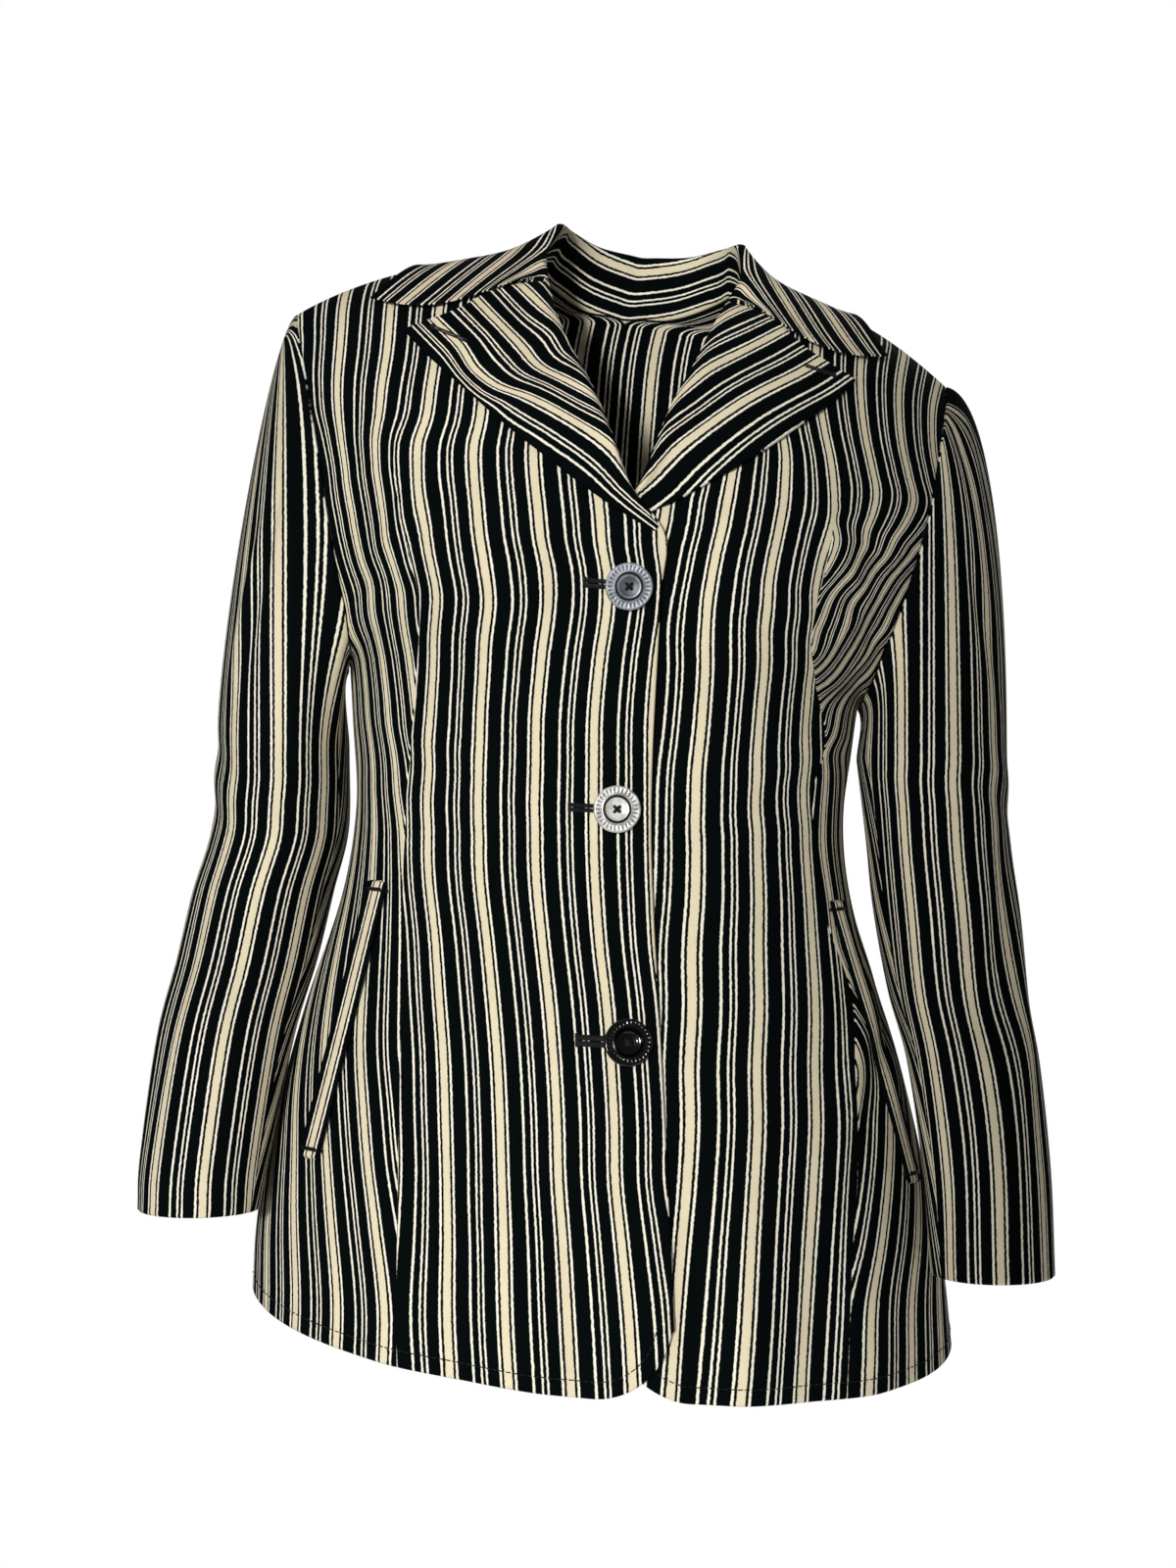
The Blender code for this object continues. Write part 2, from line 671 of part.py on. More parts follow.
def build_sleeves(front, back):
    """Both sleeves, from the armholes that the panels leave."""
    armhole = slice(ROWS_BELOW - 1, None)
    half = np.concatenate([front[armhole, -1][::-1], back[armhole, 0][1:-1]])
    for name, table, side, reach in (
        ("sleeve_left", SLEEVE_LEFT_ROWS, 1, CAP_REACH_LEFT),
        ("sleeve_right", SLEEVE_RIGHT_ROWS, -1, CAP_REACH_RIGHT),
    ):
        loop = stance(half * np.array([side, 1, 1]))
        grid = sleeve_grid(loop, table, side, reach)
        wall(name, grid, inner_face(grid, CLOTH, wrap=True), cloth(name), wrap=True)


def build_lapels(front, under):
    """Both lapels, each on its own front."""
    over = lapel_grid(front, LAPEL_ROWS, LAPEL_COLUMNS)
    inner = inner_face(over, DOUBLE)
    worn_wall("lapel_right", mirror(over), mirror(inner))
    below = lapel_grid(under, LAPEL_ROWS, LAPEL_COLUMNS, first=UNDER_LAPEL_START)
    worn_wall("lapel_left", below, inner_face(below, DOUBLE))


def build_collar(front, back):
    """The collar in one piece round the neck, from the left point to the right one."""
    half = collar_half(front, back, COLLAR_ROWS)[::-1]
    mirrored = half[::-1] * np.array([-1.0, 1.0, 1.0])
    collar = np.concatenate([half, mirrored[1:]])
    worn_wall("collar", collar, inner_face(collar, DOUBLE))


def build_welts(front):
    """The slanted welt over each pocket mouth."""
    line = along(WELT_LINE, WELT_ROWS)[::-1]
    strip = line[:, None] + np.array([[-WELT_HALF_WIDTH, 0], [0, 0], [WELT_HALF_WIDTH, 0]])
    points, out = nearest_on(front, strip)
    welt = points + out * (DOUBLE + WELT_GAP)
    inner = inner_face(welt, DOUBLE)
    worn_wall("pocket_welt_left", welt, inner)
    worn_wall("pocket_welt_right", mirror(welt), mirror(inner))


def build_buttons(front):
    """Three buttons down the centre, on the front that laps over."""
    for name, height, shift in BUTTONS:
        here, way = posed_place(mirror(front), shift, height)
        button(name, here + way * SHANK, way)


def build():
    """Make every piece."""
    for ob in list(bpy.data.objects):
        bpy.data.objects.remove(ob)
    up = grid_up(ROWS_BELOW, ROWS_ABOVE)
    front = front_grid(grid_across(FRONT_COLUMNS), up)
    under = under_front(front)
    back = back_grid(grid_across(BACK_COLUMNS, SIDE_GAP), up)
    build_sleeves(front, back)
    for grid, way in ((front, -1), (under, -1), (back, 1)):
        grid[-1, :, 1] += way * SEAM / 2
    build_panels(front, under, back)

    fine_up = grid_up(*FINE_ROWS)
    fine_front = front_grid(grid_across(FINE_COLUMNS), fine_up)
    fine_back = back_grid(grid_across(FINE_COLUMNS), fine_up)
    build_lapels(fine_front, under_front(fine_front))
    build_collar(fine_front, fine_back)
    build_welts(fine_front)
    build_buttons(fine_front)


build()
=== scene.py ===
"""Looks of a hollow striped blazer in its worn form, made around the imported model.

The file is laid out as a Blender add-on: sizes and colours are properties, each group of pieces has its own
operator, and a panel lists them. Lengths in the tables are millimetres and meshes are made in metres. The
wearer's right is at -X, the front faces -Y and +Z is up.

Every cloth piece is a grid of points worked out in the garment's own upright, even frame, which `stance` then
leans, turns and shifts by height. Each piece carries a UV map named grain: its first value runs across the
stripes and its second along them, both in metres of cloth.
"""

import math

import bpy
import numpy as np
from bpy.props import FloatProperty, FloatVectorProperty, PointerProperty
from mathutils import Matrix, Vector


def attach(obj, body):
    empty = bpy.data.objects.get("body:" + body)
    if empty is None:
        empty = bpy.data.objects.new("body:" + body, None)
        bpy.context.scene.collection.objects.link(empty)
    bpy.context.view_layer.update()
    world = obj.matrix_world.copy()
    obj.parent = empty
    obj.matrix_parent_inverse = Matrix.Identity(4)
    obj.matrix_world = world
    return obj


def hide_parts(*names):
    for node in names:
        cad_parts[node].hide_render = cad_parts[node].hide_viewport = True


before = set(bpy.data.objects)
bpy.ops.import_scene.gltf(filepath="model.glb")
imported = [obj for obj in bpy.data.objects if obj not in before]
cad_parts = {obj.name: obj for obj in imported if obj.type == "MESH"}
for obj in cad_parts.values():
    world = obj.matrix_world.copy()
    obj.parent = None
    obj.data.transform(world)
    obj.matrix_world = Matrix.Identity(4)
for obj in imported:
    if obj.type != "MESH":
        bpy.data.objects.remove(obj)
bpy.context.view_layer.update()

bl_info = {
    "name": "Striped blazer",
    "version": (1, 0, 0),
    "blender": (4, 5, 0),
    "location": "3D View > Sidebar > Blazer",
    "description": "Cloth, sewing and buttons of a hollow striped blazer",
    "category": "Object",
}

MM = 0.001
BODY = "root"
# the flat cloth of each piece: its width and height in m, and its area in square m
FRONT_SHEET = ((0.275, 0.63), 0.136)
BACK_SHEET = ((0.25, 0.62), 0.127)
SLEEVE_SHEET = ((0.36, 0.44), 0.115)
LAPEL_SHEET = ((0.135, 0.2), 0.0094)
COLLAR_SHEET = ((0.10, 0.46), 0.0375)
WELT_SHEET = ((0.0184, 0.157), None)
MIRRORED = np.array([-1.0, 1.0, 1.0])  # takes a point to the other side of the centre
CLOTH = 1.6  # one layer with its seam allowance pressed
DOUBLE = 2.2  # collar, lapel and welt, two layers and a stiffening
SEAM = 0.3  # gap between two pieces that are sewn together
SIDE_GAP = 0.0007  # half a seam's gap as a share of a row round the body
OVERLAP = 17.0  # how far each front edge reaches past the centre
LAP = 4.0  # the under front lies this far inside the upper one
LAP_END, LAP_FADE = 58.0, 36.0  # how far from the centre that reaches, and the width over which it fades
LAP_TOP, LAP_TOP_FADE = -96.0, 24.0  # the same upwards
CROSSING = (-128.0, 22.0, 2.8)  # where the lapels cross: height, spread, and how much deeper it is there
EDGE_CALM = 22.0  # width over which the folds fade in beside the front edge
PANEL_CALM = 22.0  # width over which the finer folds fade out towards the side and the shoulder
LAPEL_GAP = 1.2  # air between a lapel and the cloth below it
COLLAR_GAP = 2.8  # air below the fall of the collar
WELT_GAP = 1.1  # air below a welt
SHANK = 2.0  # thread between a button and the cloth

BUTTONS = (  # name, height on the front edge's centre line, sideways shift
    ("button_top", -171.0, 0.0),
    ("button_middle", -288.0, -1.0),
    ("button_bottom", -409.0, 0.0),
)

# How the jacket stands, by height: sideways shift, rise per mm to the wearer's left, turn to the left
STANCE = (  # z, shift, slope, turn in degrees
    (-600, -14, -0.092, 8.0),
    (-475, -17, -0.055, 7.5),
    (-400, -17, -0.045, 6.5),
    (-300, -16, -0.050, 5.0),
    (-180, -10, -0.085, 4.0),
    (-110, -5, -0.100, 3.5),
    (-60, -3, -0.105, 3.2),
    (-20, 0, -0.105, 3.0),
    (12, 8, -0.105, 3.0),
    (45, 17, -0.105, 3.0),
)

FRONT_ROWS = (  # x_in, y_in, z_in, x_out, y_out, z_out, turn
    (-17, -150, -592, 195, -15, -566, 90),
    (-17, -148, -536, 191, -14, -524, 90),
    (-17, -143, -472, 179, -12, -463, 90),
    (-17, -135, -409, 163, -12, -403, 90),
    (-17, -122, -345, 143, -10, -342, 90),
    (-17, -113, -295, 136, -8, -294, 90),
    (-17, -114, -250, 139, -3, -253, 90),
    (-17, -120, -208, 142, 0, -222, 88),
    (-17, -124, -172, 143, -40, -207, 74),
    (-17, -125, -142, 149, -56, -182, 64),
    (2, -121, -118, 157, -60, -152, 58),
    (12, -114, -92, 164, -56, -122, 55),
    (22, -102, -68, 170, -47, -94, 52),
    (34, -84, -45, 175, -32, -69, 48),
    (45, -56, -19, 180, -12, -48, 40),
    (53, -23, 2, 182.5, 2, -37, 32),
    (58, 8, 12, 183, 12, -30, 26),
)

BACK_ROWS = (  # the same columns
    (0, 124, -592, 195, -15, -566, 90),
    (0, 123, -536, 191, -14, -524, 90),
    (0, 118, -472, 179, -12, -463, 90),
    (0, 103, -409, 163, -12, -403, 90),
    (0, 84, -345, 143, -10, -342, 90),
    (0, 77, -295, 136, -8, -294, 90),
    (0, 83, -250, 139, -3, -253, 90),
    (0, 93, -208, 142, 0, -222, 88),
    (0, 100, -172, 150, 42, -202, 74),
    (0, 104, -140, 160, 62, -172, 62),
    (0, 103, -106, 168, 68, -138, 54),
    (0, 97, -72, 173, 66, -106, 48),
    (0, 83, -38, 178, 54, -76, 44),
    (0, 66, -8, 181, 36, -53, 38),
    (28, 60, -3, 182.5, 22, -39, 32),
    (50, 38, 6, 183, 16, -33, 28),
    (58, 8, 12, 183, 12, -30, 26),
)

HEM_HEIGHT = -592.0
CORNER_RADIUS = 46.0  # the rounded lower front corner
CORNER_STEEPEST = 0.985  # the corner's curve ends just short of upright
CORNER_FADE = 130.0  # rows up to this far above the hem follow the corner a little
CORNER_FADE_POWER = 1.5
UNDERARM_ROW = 7  # of the steps in the row tables
CENTRE_SEAM_SHARE = 0.8  # rows of a back that end on the centre seam, the rest end on the neck

LAPEL_EDGE = (  # x, z
    (-17, -143.5),
    (8, -131),
    (28, -119),
    (45, -107.5),
    (62, -95.5),
    (79, -82),
    (96, -67.5),
    (110, -55),
    (121, -43),
)
LAPEL_ROLL = (  # x, z
    (-17, -142),
    (2, -118),
    (12, -92),
    (22, -68),
    (34, -45),
    (45, -19),
    (49.5, -7),
)
GORGE = (  # x, z of the seam between lapel and collar, from the roll line to the notch
    (49.5, -7),
    (64, -10),
    (78, -16),
    (90, -26.5),
)
LAPEL_TOP_POWER = 4  # how late the rows turn to follow the lapel's top
UNDER_LAPEL_START = 0.1  # the under lapel begins above the crossing
OVER_LAPEL_START = 0.035

COLLAR_SEAM = (  # x, y, z of the neck seam, where the stand begins
    (0, 65.5, -7),
    (28, 59.5, -2),
    (49.5, 37.5, 7),
    (57.3, 8, 13),
    (52.5, -20, 4.5),
    (46.5, -39, -4),
)
COLLAR_FOLD = (  # x, y, z
    (0, 57, 30),
    (24, 51, 32),
    (42, 31, 36),
    (49, 7, 35),
    (52, -16, 19),
    (49, -39, 1),
)
COLLAR_EDGE = (  # x, y, z
    (0, 100, -30),
    (44, 93, -29),
    (84, 66, -20),
    (110, 27, -6),
    (127, -14, -10),
    (141, -44, -26),
)
COLLAR_POINT = (  # x, z of the free front end, from the notch to the point
    (124, -33),
    (141, -26),
)
COLLAR_ROLL = 3.6  # the roll's radius at most
ROLL_LEAST = 1.7
ROLL_SHARE = 0.42  # the roll's radius as a share of the stand's height
ROLL_ANGLES = (128, 76, 24)  # points on the roll, in degrees above the fall's way out
STAND_COLUMNS, FALL_COLUMNS = 3, 7
COLLAR_ROWS = 18  # of half the collar
COLLAR_END_POWER = 5  # how late the rows turn to run with the lapel's top
FALL_BULGE = 2.0  # how far the fall stands off a straight line from its roll to its edge
BULGE_WAY = (0.5, 0.85)  # outwards and upwards
LIFT_PASSES = 4
LIFT_SIDEWAYS = 0.5  # a lifted point also keeps to its own way out

SLEEVE_RIGHT_ROWS = (  # z, x, y, half_width, half_depth
    (-255, -193.5, 6, 37.0, 58),
    (-300, -195.5, 9, 38.5, 56),
    (-335, -204.5, 4, 39.5, 54),
    (-372, -211.5, -16, 39.0, 50),
    (-412, -220.0, -46, 37.5, 45),
    (-475, -228.5, -70, 35.0, 42),
    (-502, -230.5, -78, 33.2, 40),
)
SLEEVE_LEFT_ROWS = (  # the same columns
    (-262, 171.5, 6, 42.0, 58),
    (-307, 175.0, 9, 40.0, 56),
    (-345, 178.5, 4, 40.0, 54),
    (-390, 183.0, -16, 38.0, 50),
    (-426, 188.5, -46, 36.0, 45),
    (-482, 193.0, -70, 34.3, 42),
    (-537, 195.0, -80, 33.2, 40),
)
CAP_REACH = {1: 95.0, -1: 42.0}  # the wearer's left sleeve head and the right one
CAP_DROP = 22.0
UNDERARM_LEAVE = (14.0, -24.0)  # how the sleeve leaves the underarm: out and up
CAP_ARRIVE = 0.8  # how straight its lines run into the first section
HEAD_SPACING = 0.9  # rings of the head, a little closer together at the armhole
SLEEVE_GAP = 1.3  # along the sleeve head, which leaves the shoulder at an angle
HEAD_CALM = 16.0  # distance below the armhole over which the sleeve's folds fade in

# Soft folds that both fronts share, as ridges (+) and troughs (-) in front view
FRONT_FOLDS = (  # x, z, run in degrees from level, half length, half width, depth
    (78, -178, 90, 42, 44, 13.0),
    (118, -150, -62, 42, 9, 2.6),
    (132, -176, -50, 30, 8, -2.4),
    (60, -560, 84, 60, 16, 3.5),
    (28, -565, 90, 60, 12, -3.0),
    (96, -566, 86, 55, 14, -2.4),
    (128, -560, 88, 60, 15, 3.4),
    (42, -296, 12, 40, 8, -1.6),
    (88, -262, 20, 36, 9, 1.6),
)
BACK_FOLDS = (  # the same columns
    (72, -105, 84, 60, 30, 6.0),
    (60, -560, 90, 60, 18, 4.0),
    (110, -562, 90, 60, 16, -3.0),
    (50, -300, 8, 44, 9, -2.0),
)

WELT_LINE = (  # x, z from the top to the lower end of a pocket welt's centre line, in front view
    (123.5, -334),
    (163, -482),
)
WELT_HALF_WIDTH = 4.3  # in front view

# Dart line of each front, from the hem to its tip, in front view. The left one runs on into a tuck.
DART_RIGHT = (  # z, x
    (-592, 124),
    (-480, 120),
    (-390, 115),
    (-300, 111),
    (-230, 106.5),
    (-187, 104),
    (-160, 112),
    (-125, 125),
)
DART_LEFT = (  # z, x
    (-592, 112),
    (-510, 120.5),
    (-474, 127),
    (-426, 127),
    (-381, 130),
    (-338, 116),
    (-300, 111),
    (-274, 110),
    (-237, 115),
    (-213, 104),
    (-176, 95),
    (-150, 103),
    (-120, 108),
)

# How the stripes run: cloth across the grain is shift + stretch * distance from the front edge, in mm
GRAIN_RIGHT = (  # z, shift, stretch
    (-592, 9.0, 0.94),
    (-560, 8.5, 0.94),
    (-510, 5.0, 0.99),
    (-480, 2.5, 1.02),
    (-450, 3.7, 1.01),
    (-420, 3.5, 1.01),
    (-390, 3.0, 1.00),
    (-360, 1.1, 1.00),
    (-330, 1.1, 0.97),
    (-300, 1.2, 0.96),
    (-270, 0.7, 0.97),
    (-240, -0.3, 0.98),
    (-210, 0.2, 1.00),
    (-180, 2.4, 1.00),
    (-165, 2.2, 0.97),
    (-150, -0.6, 0.95),
    (-135, -1.8, 0.93),
    (-120, -3.6, 0.923),
    (-105, -6.0, 0.94),
    (-90, -9.0, 1.00),
    (-75, -10.5, 1.03),
    (-60, -12.0, 1.06),
    (0, -8.0, 1.05),
)
GRAIN_RIGHT_SIDE = (  # the same columns
    (-592, 62.0, 0.96),
    (-560, 64.5, 0.96),
    (-510, 53.0, 1.00),
    (-480, 43.5, 1.03),
    (-450, 45.0, 1.00),
    (-420, 42.0, 1.00),
    (-390, 42.0, 1.00),
    (-360, 39.0, 1.02),
    (-300, 4.0, 1.23),
    (-270, -25.0, 1.38),
    (-240, -28.0, 1.33),
    (-195, -11.0, 1.14),
    (-180, -19.0, 1.18),
    (-165, -38.0, 1.26),
    (-150, -51.0, 1.31),
    (-135, -67.0, 1.38),
    (-120, -71.0, 1.39),
    (-105, -59.0, 1.30),
    (-90, -24.0, 1.10),
    (-75, -10.0, 1.03),
    (0, -8.0, 1.05),
)
GRAIN_LEFT = (  # the same columns
    (-592, 33.4, 0.83),
    (-560, 30.2, 0.83),
    (-510, 25.1, 0.83),
    (-480, 22.0, 0.825),
    (-450, 20.2, 0.81),
    (-420, 19.8, 0.80),
    (-390, 17.8, 0.79),
    (-360, 17.0, 0.78),
    (-330, 13.1, 0.80),
    (-300, 10.3, 0.83),
    (-270, 8.8, 0.86),
    (-240, 5.5, 0.895),
    (-210, 3.9, 0.937),
    (-195, 4.4, 0.955),
    (-180, 2.2, 1.00),
    (-165, -0.9, 1.03),
    (-150, -2.0, 1.01),
    (-135, -4.0, 0.99),
    (-120, -5.0, 0.97),
    (-105, -10.0, 1.01),
    (-90, -19.0, 1.10),
    (-75, -20.0, 1.14),
    (-60, -12.0, 1.10),
    (0, 0.0, 1.00),
)
GRAIN_LEFT_SIDE = (  # the same columns
    (-592, 153, 0.80),
    (-570, 151.5, 0.80),
    (-540, 148.5, 0.80),
    (-510, 141.5, 0.78),
    (-480, 132, 0.78),
    (-450, 120.5, 0.80),
    (-420, 105, 0.85),
    (-405, 102, 0.90),
    (-390, 104, 0.95),
    (-360, 114, 1.00),
    (-330, 116, 1.00),
    (-300, 121, 1.00),
    (-262, 105, 1.10),
    (-250, 86, 1.25),
    (-240, 67, 1.30),
    (-222, 40, 1.40),
    (-210, 6, 1.45),
    (-195, -54, 1.70),
    (-180, -26, 1.45),
    (-165, -50, 1.55),
    (-150, -100, 1.75),
    (-135, -63, 1.40),
    (-120, -28, 1.15),
    (-105, -28, 1.03),
    (-90, -28, 1.10),
    (0, 0, 1.00),
)

# One repeat of the stripe, left to right as worn
STRIPES = (  # width in mm, yarn
    (1.2, "pale"),
    (1.25, "pin"),
    (3.9, "cream"),
    (1.25, "pin"),
    (1.15, "pale"),
    (7.3, "navy"),
    (1.25, "pale"),
    (3.2, "navy"),
    (1.0, "pale"),
    (1.55, "navy"),
    (1.0, "pale"),
    (5.95, "navy"),
)
REPEAT = 30.0
STRIPE_SOFT = 0.08  # width in mm over which one yarn gives way to the next, on either side
CREAM_MIDDLE = 4.4  # from the repeat's start to the middle of its wide cream stripe


def soft_step(t):
    """A rise from 0 to 1 that starts and ends level: three t squared less two t cubed."""
    return t * t * (3 - 2 * t)


def unit(ways, least=0.0):
    """Ways with a length of one, each divided by its own length, or by `least` if that is more."""
    return ways / np.maximum(np.linalg.norm(ways, axis=-1, keepdims=True), least)


def smooth(knots, rows, at):
    """A smooth curve through rows of values at rising knots.

    It is made of cubic pieces whose slopes are central differences.
    """
    knots = np.asarray(knots, float)
    rows = np.asarray(rows, float)
    slopes = np.gradient(rows, knots, axis=0)
    at = np.clip(np.asarray(at, float), knots[0], knots[-1])
    i = np.clip(np.searchsorted(knots, at, side="right") - 1, 0, len(knots) - 2)
    step = knots[i + 1] - knots[i]
    t = (at - knots[i]) / step
    more = (...,) + (None,) * (rows.ndim - 1)
    t, step = t[more], step[more]
    rise = soft_step(t)
    return (
        rows[i] * (1 - rise)
        + rows[i + 1] * rise
        + slopes[i] * step * t * (1 - t) ** 2
        - slopes[i + 1] * step * t * t * (1 - t)
    )


def run_along(points):
    """Distance along a line of points from its first one."""
    return np.concatenate([[0], np.cumsum(np.linalg.norm(np.diff(points, axis=0), axis=1))])


def along(points, count, start=0.0):
    """Evenly spaced points along a smooth line through the given ones, from a share of its length on."""
    points = np.asarray(points, float)
    length = run_along(points)
    return smooth(length, points, np.linspace(start, 1, count) * length[-1])


def by_height(table, z):
    """The values of a table that is led by height, at any heights."""
    table = np.array(table, float)
    return smooth(table[:, 0], table[:, 1:], z)


def stance(points):
    """Lean, turn and shift garment points to the way the jacket is worn."""
    held = by_height(STANCE, points[..., 2])
    shift, slope, turn = held[..., 0], held[..., 1], np.radians(held[..., 2])
    x = points[..., 0] * np.cos(turn) - points[..., 1] * np.sin(turn)
    y = points[..., 0] * np.sin(turn) + points[..., 1] * np.cos(turn)
    return np.stack([x + shift, y, points[..., 2] + slope * x], axis=-1)


def normals(grid, wrap=False):
    """Unit normals of a grid of points: the cross product of its steps across and up."""
    if wrap:
        across = np.roll(grid, -1, axis=1) - np.roll(grid, 1, axis=1)
    else:
        across = np.gradient(grid, axis=1)
    return unit(np.cross(across, np.gradient(grid, axis=0)), 1e-9)


def refine(grid, rows, cols):
    """The same surface with more rows and columns, by smooth curves through its own."""
    r, c = np.arange(grid.shape[0]), np.arange(grid.shape[1])
    tall = smooth(r, grid, np.linspace(0, r[-1], rows))
    return smooth(c, tall.swapaxes(0, 1), np.linspace(0, c[-1], cols)).swapaxes(0, 1)


def run_across(grid):
    """Distance along each row from its first point."""
    step = np.linalg.norm(np.diff(grid, axis=1), axis=-1)
    return np.concatenate([np.zeros((len(grid), 1)), np.cumsum(step, axis=1)], axis=1)


def run_up(grid):
    """Distance up each column from its first point."""
    step = np.linalg.norm(np.diff(grid, axis=0), axis=-1)
    return np.concatenate([np.zeros((1, grid.shape[1])), np.cumsum(step, axis=0)], axis=0)


def corner_rise(from_edge):
    """How far the hem climbs in the round front corner: a quarter circle by distance from the front edge."""
    inside = np.clip((CORNER_RADIUS - from_edge) / CORNER_RADIUS, 0, CORNER_STEEPEST)
    return CORNER_RADIUS * (1 - np.sqrt(1 - inside**2))


def panel(rows, across, up, rounded=False, least=-99.0):
    """A panel's outer face: each row is a circular arc that turns round the body by its own angle.

    across is a share of the arc for each row and column, and up a share of the rows.
    No row starts nearer to the centre than `least`.
    """
    rows = np.array(rows, float)
    knots = np.arange(len(rows))
    at = up * (len(rows) - 1)
    row = smooth(knots, rows, at)
    below, above = slice(None, UNDERARM_ROW + 1), slice(UNDERARM_ROW, None)
    outer = slice(3, None)
    row[:, outer] = np.where(
        (at <= UNDERARM_ROW)[:, None],
        smooth(knots[below], rows[below], at)[:, outer],
        smooth(knots[above], rows[above], at)[:, outer],
    )
    row[:, 0] = np.maximum(row[:, 0], least)
    x_in, y_in, z_in, x_out, y_out, z_out, turn = (column[:, None] for column in row.T)
    turn = np.radians(np.minimum(turn, 90))
    flat_at = np.maximum(x_in, 0)
    radius = (x_out - flat_at) / np.sin(turn)
    first = -np.arcsin((flat_at - x_in) / radius)
    angle = first + (turn - first) * across
    x = flat_at + radius * np.sin(angle)
    y = y_in + (y_out - y_in) * (1 - np.cos(angle)) / (1 - np.cos(turn))
    z = z_in + (z_out - z_in) * across**2
    if rounded:
        fade = np.clip(1 - (z - HEM_HEIGHT) / CORNER_FADE, 0, 1) ** CORNER_FADE_POWER
        z = z + corner_rise(x + OVERLAP) * fade
    return np.stack([x, y, z], axis=-1)


def fold_depth(x, z, folds):
    """Sum of soft ridges and troughs: each a bell across its run and a longer bell along it."""
    depth = np.zeros(np.shape(x))
    for fx, fz, run, half_length, half_width, height in folds:
        c, s = math.cos(math.radians(run)), math.sin(math.radians(run))
        lengthwise = ((x - fx) * c + (z - fz) * s) / half_length
        sideways = (-(x - fx) * s + (z - fz) * c) / half_width
        depth += height * np.exp(-(lengthwise**2) - sideways**2)
    return depth


def folded(grid, folds, calm=0.0):
    """Move a grid out and in by its folds, none within `calm` of the centre line."""
    depth = fold_depth(grid[..., 0], grid[..., 2], folds)
    depth = depth * np.clip((grid[..., 0] - calm) / EDGE_CALM, 0, 1)
    return grid + normals(grid) * depth[..., None]


def mirror(grid):
    """The same grid on the other side of the centre, its normals still pointing out."""
    return grid[:, ::-1] * MIRRORED


def grid_up(below, above):
    """Row positions of a panel, with one exactly at the underarm."""
    share = UNDERARM_ROW / (len(FRONT_ROWS) - 1)
    return np.concatenate([np.linspace(0, share, below), np.linspace(share, 1, above)[1:]])


def eased(count):
    """Positions from 0 to 1, a little closer together at both ends: half even, half by a cosine."""
    t = np.linspace(0, 1, count)
    return 0.5 * t + 0.25 * (1 - np.cos(np.pi * t))


def grid_across(count, rows):
    """Column positions of a panel, the same in every row."""
    return np.tile(eased(count), (rows, 1))


def front_grid(across, up):
    """The outer face of the wearer's left front."""
    return folded(panel(FRONT_ROWS, across, up, rounded=True), FRONT_FOLDS, calm=OVERLAP)


def under_front(grid):
    """The under front, pressed in where the other one laps over it."""
    fade = soft_step(np.clip((LAP_END - grid[..., 0]) / LAP_FADE, 0, 1))
    low = np.clip((LAP_TOP - grid[..., 2]) / LAP_TOP_FADE, 0, 1)
    height, spread, deeper = CROSSING
    depth = LAP + deeper * np.exp(-(((grid[..., 2] - height) / spread) ** 2))
    return grid - normals(grid) * (depth * fade * low)[..., None]


def back_grid(across, up):
    """The outer face of the left back, from the side to the centre seam."""
    grid = folded(panel(BACK_ROWS, across, up, least=SEAM / 2)[:, ::-1], BACK_FOLDS)
    grid[:, -1, 0] = np.maximum(grid[:, -1, 0], SEAM / 2)
    return grid


def nearest_on(surface, xz):
    """Points and normals of a surface at places given in front view.

    Each is its nearest point, then a step on that point's plane.
    """
    flat = surface.reshape(-1, 3)
    out = normals(surface).reshape(-1, 3)
    across = np.gradient(surface, axis=1).reshape(-1, 3)
    up = np.gradient(surface, axis=0).reshape(-1, 3)
    at = xz.reshape(-1, 2)
    flat_xz = flat[:, ::2]
    i = np.argmin((flat_xz**2).sum(axis=1)[None] - 2 * at @ flat_xz.T, axis=1)
    a, b = across[i], up[i]
    det = a[:, 0] * b[:, 2] - a[:, 2] * b[:, 0]
    dx, dz = at[:, 0] - flat[i, 0], at[:, 1] - flat[i, 2]
    s = (dx * b[:, 2] - dz * b[:, 0]) / det
    t = (a[:, 0] * dz - a[:, 2] * dx) / det
    points = flat[i] + a * s[:, None] + b * t[:, None]
    return points.reshape(*xz.shape[:-1], 3), out[i].reshape(*xz.shape[:-1], 3)


def lift_clear(points, out, below, gap):
    """Move points out until they clear the surfaces below them by the gap."""
    flat = np.concatenate([b.reshape(-1, 3) for b in below])
    flat_out = np.concatenate([normals(b).reshape(-1, 3) for b in below])
    moved, ways = points.reshape(-1, 3).copy(), out.reshape(-1, 3)
    for _ in range(LIFT_PASSES):
        near = np.argmin((flat**2).sum(axis=1)[None] - 2 * moved @ flat.T, axis=1)
        clear = ((moved - flat[near]) * flat_out[near]).sum(axis=1)
        way = unit(LIFT_SIDEWAYS * ways + flat_out[near])
        moved += way * np.maximum(gap - clear, 0)[:, None]
    return moved.reshape(points.shape)


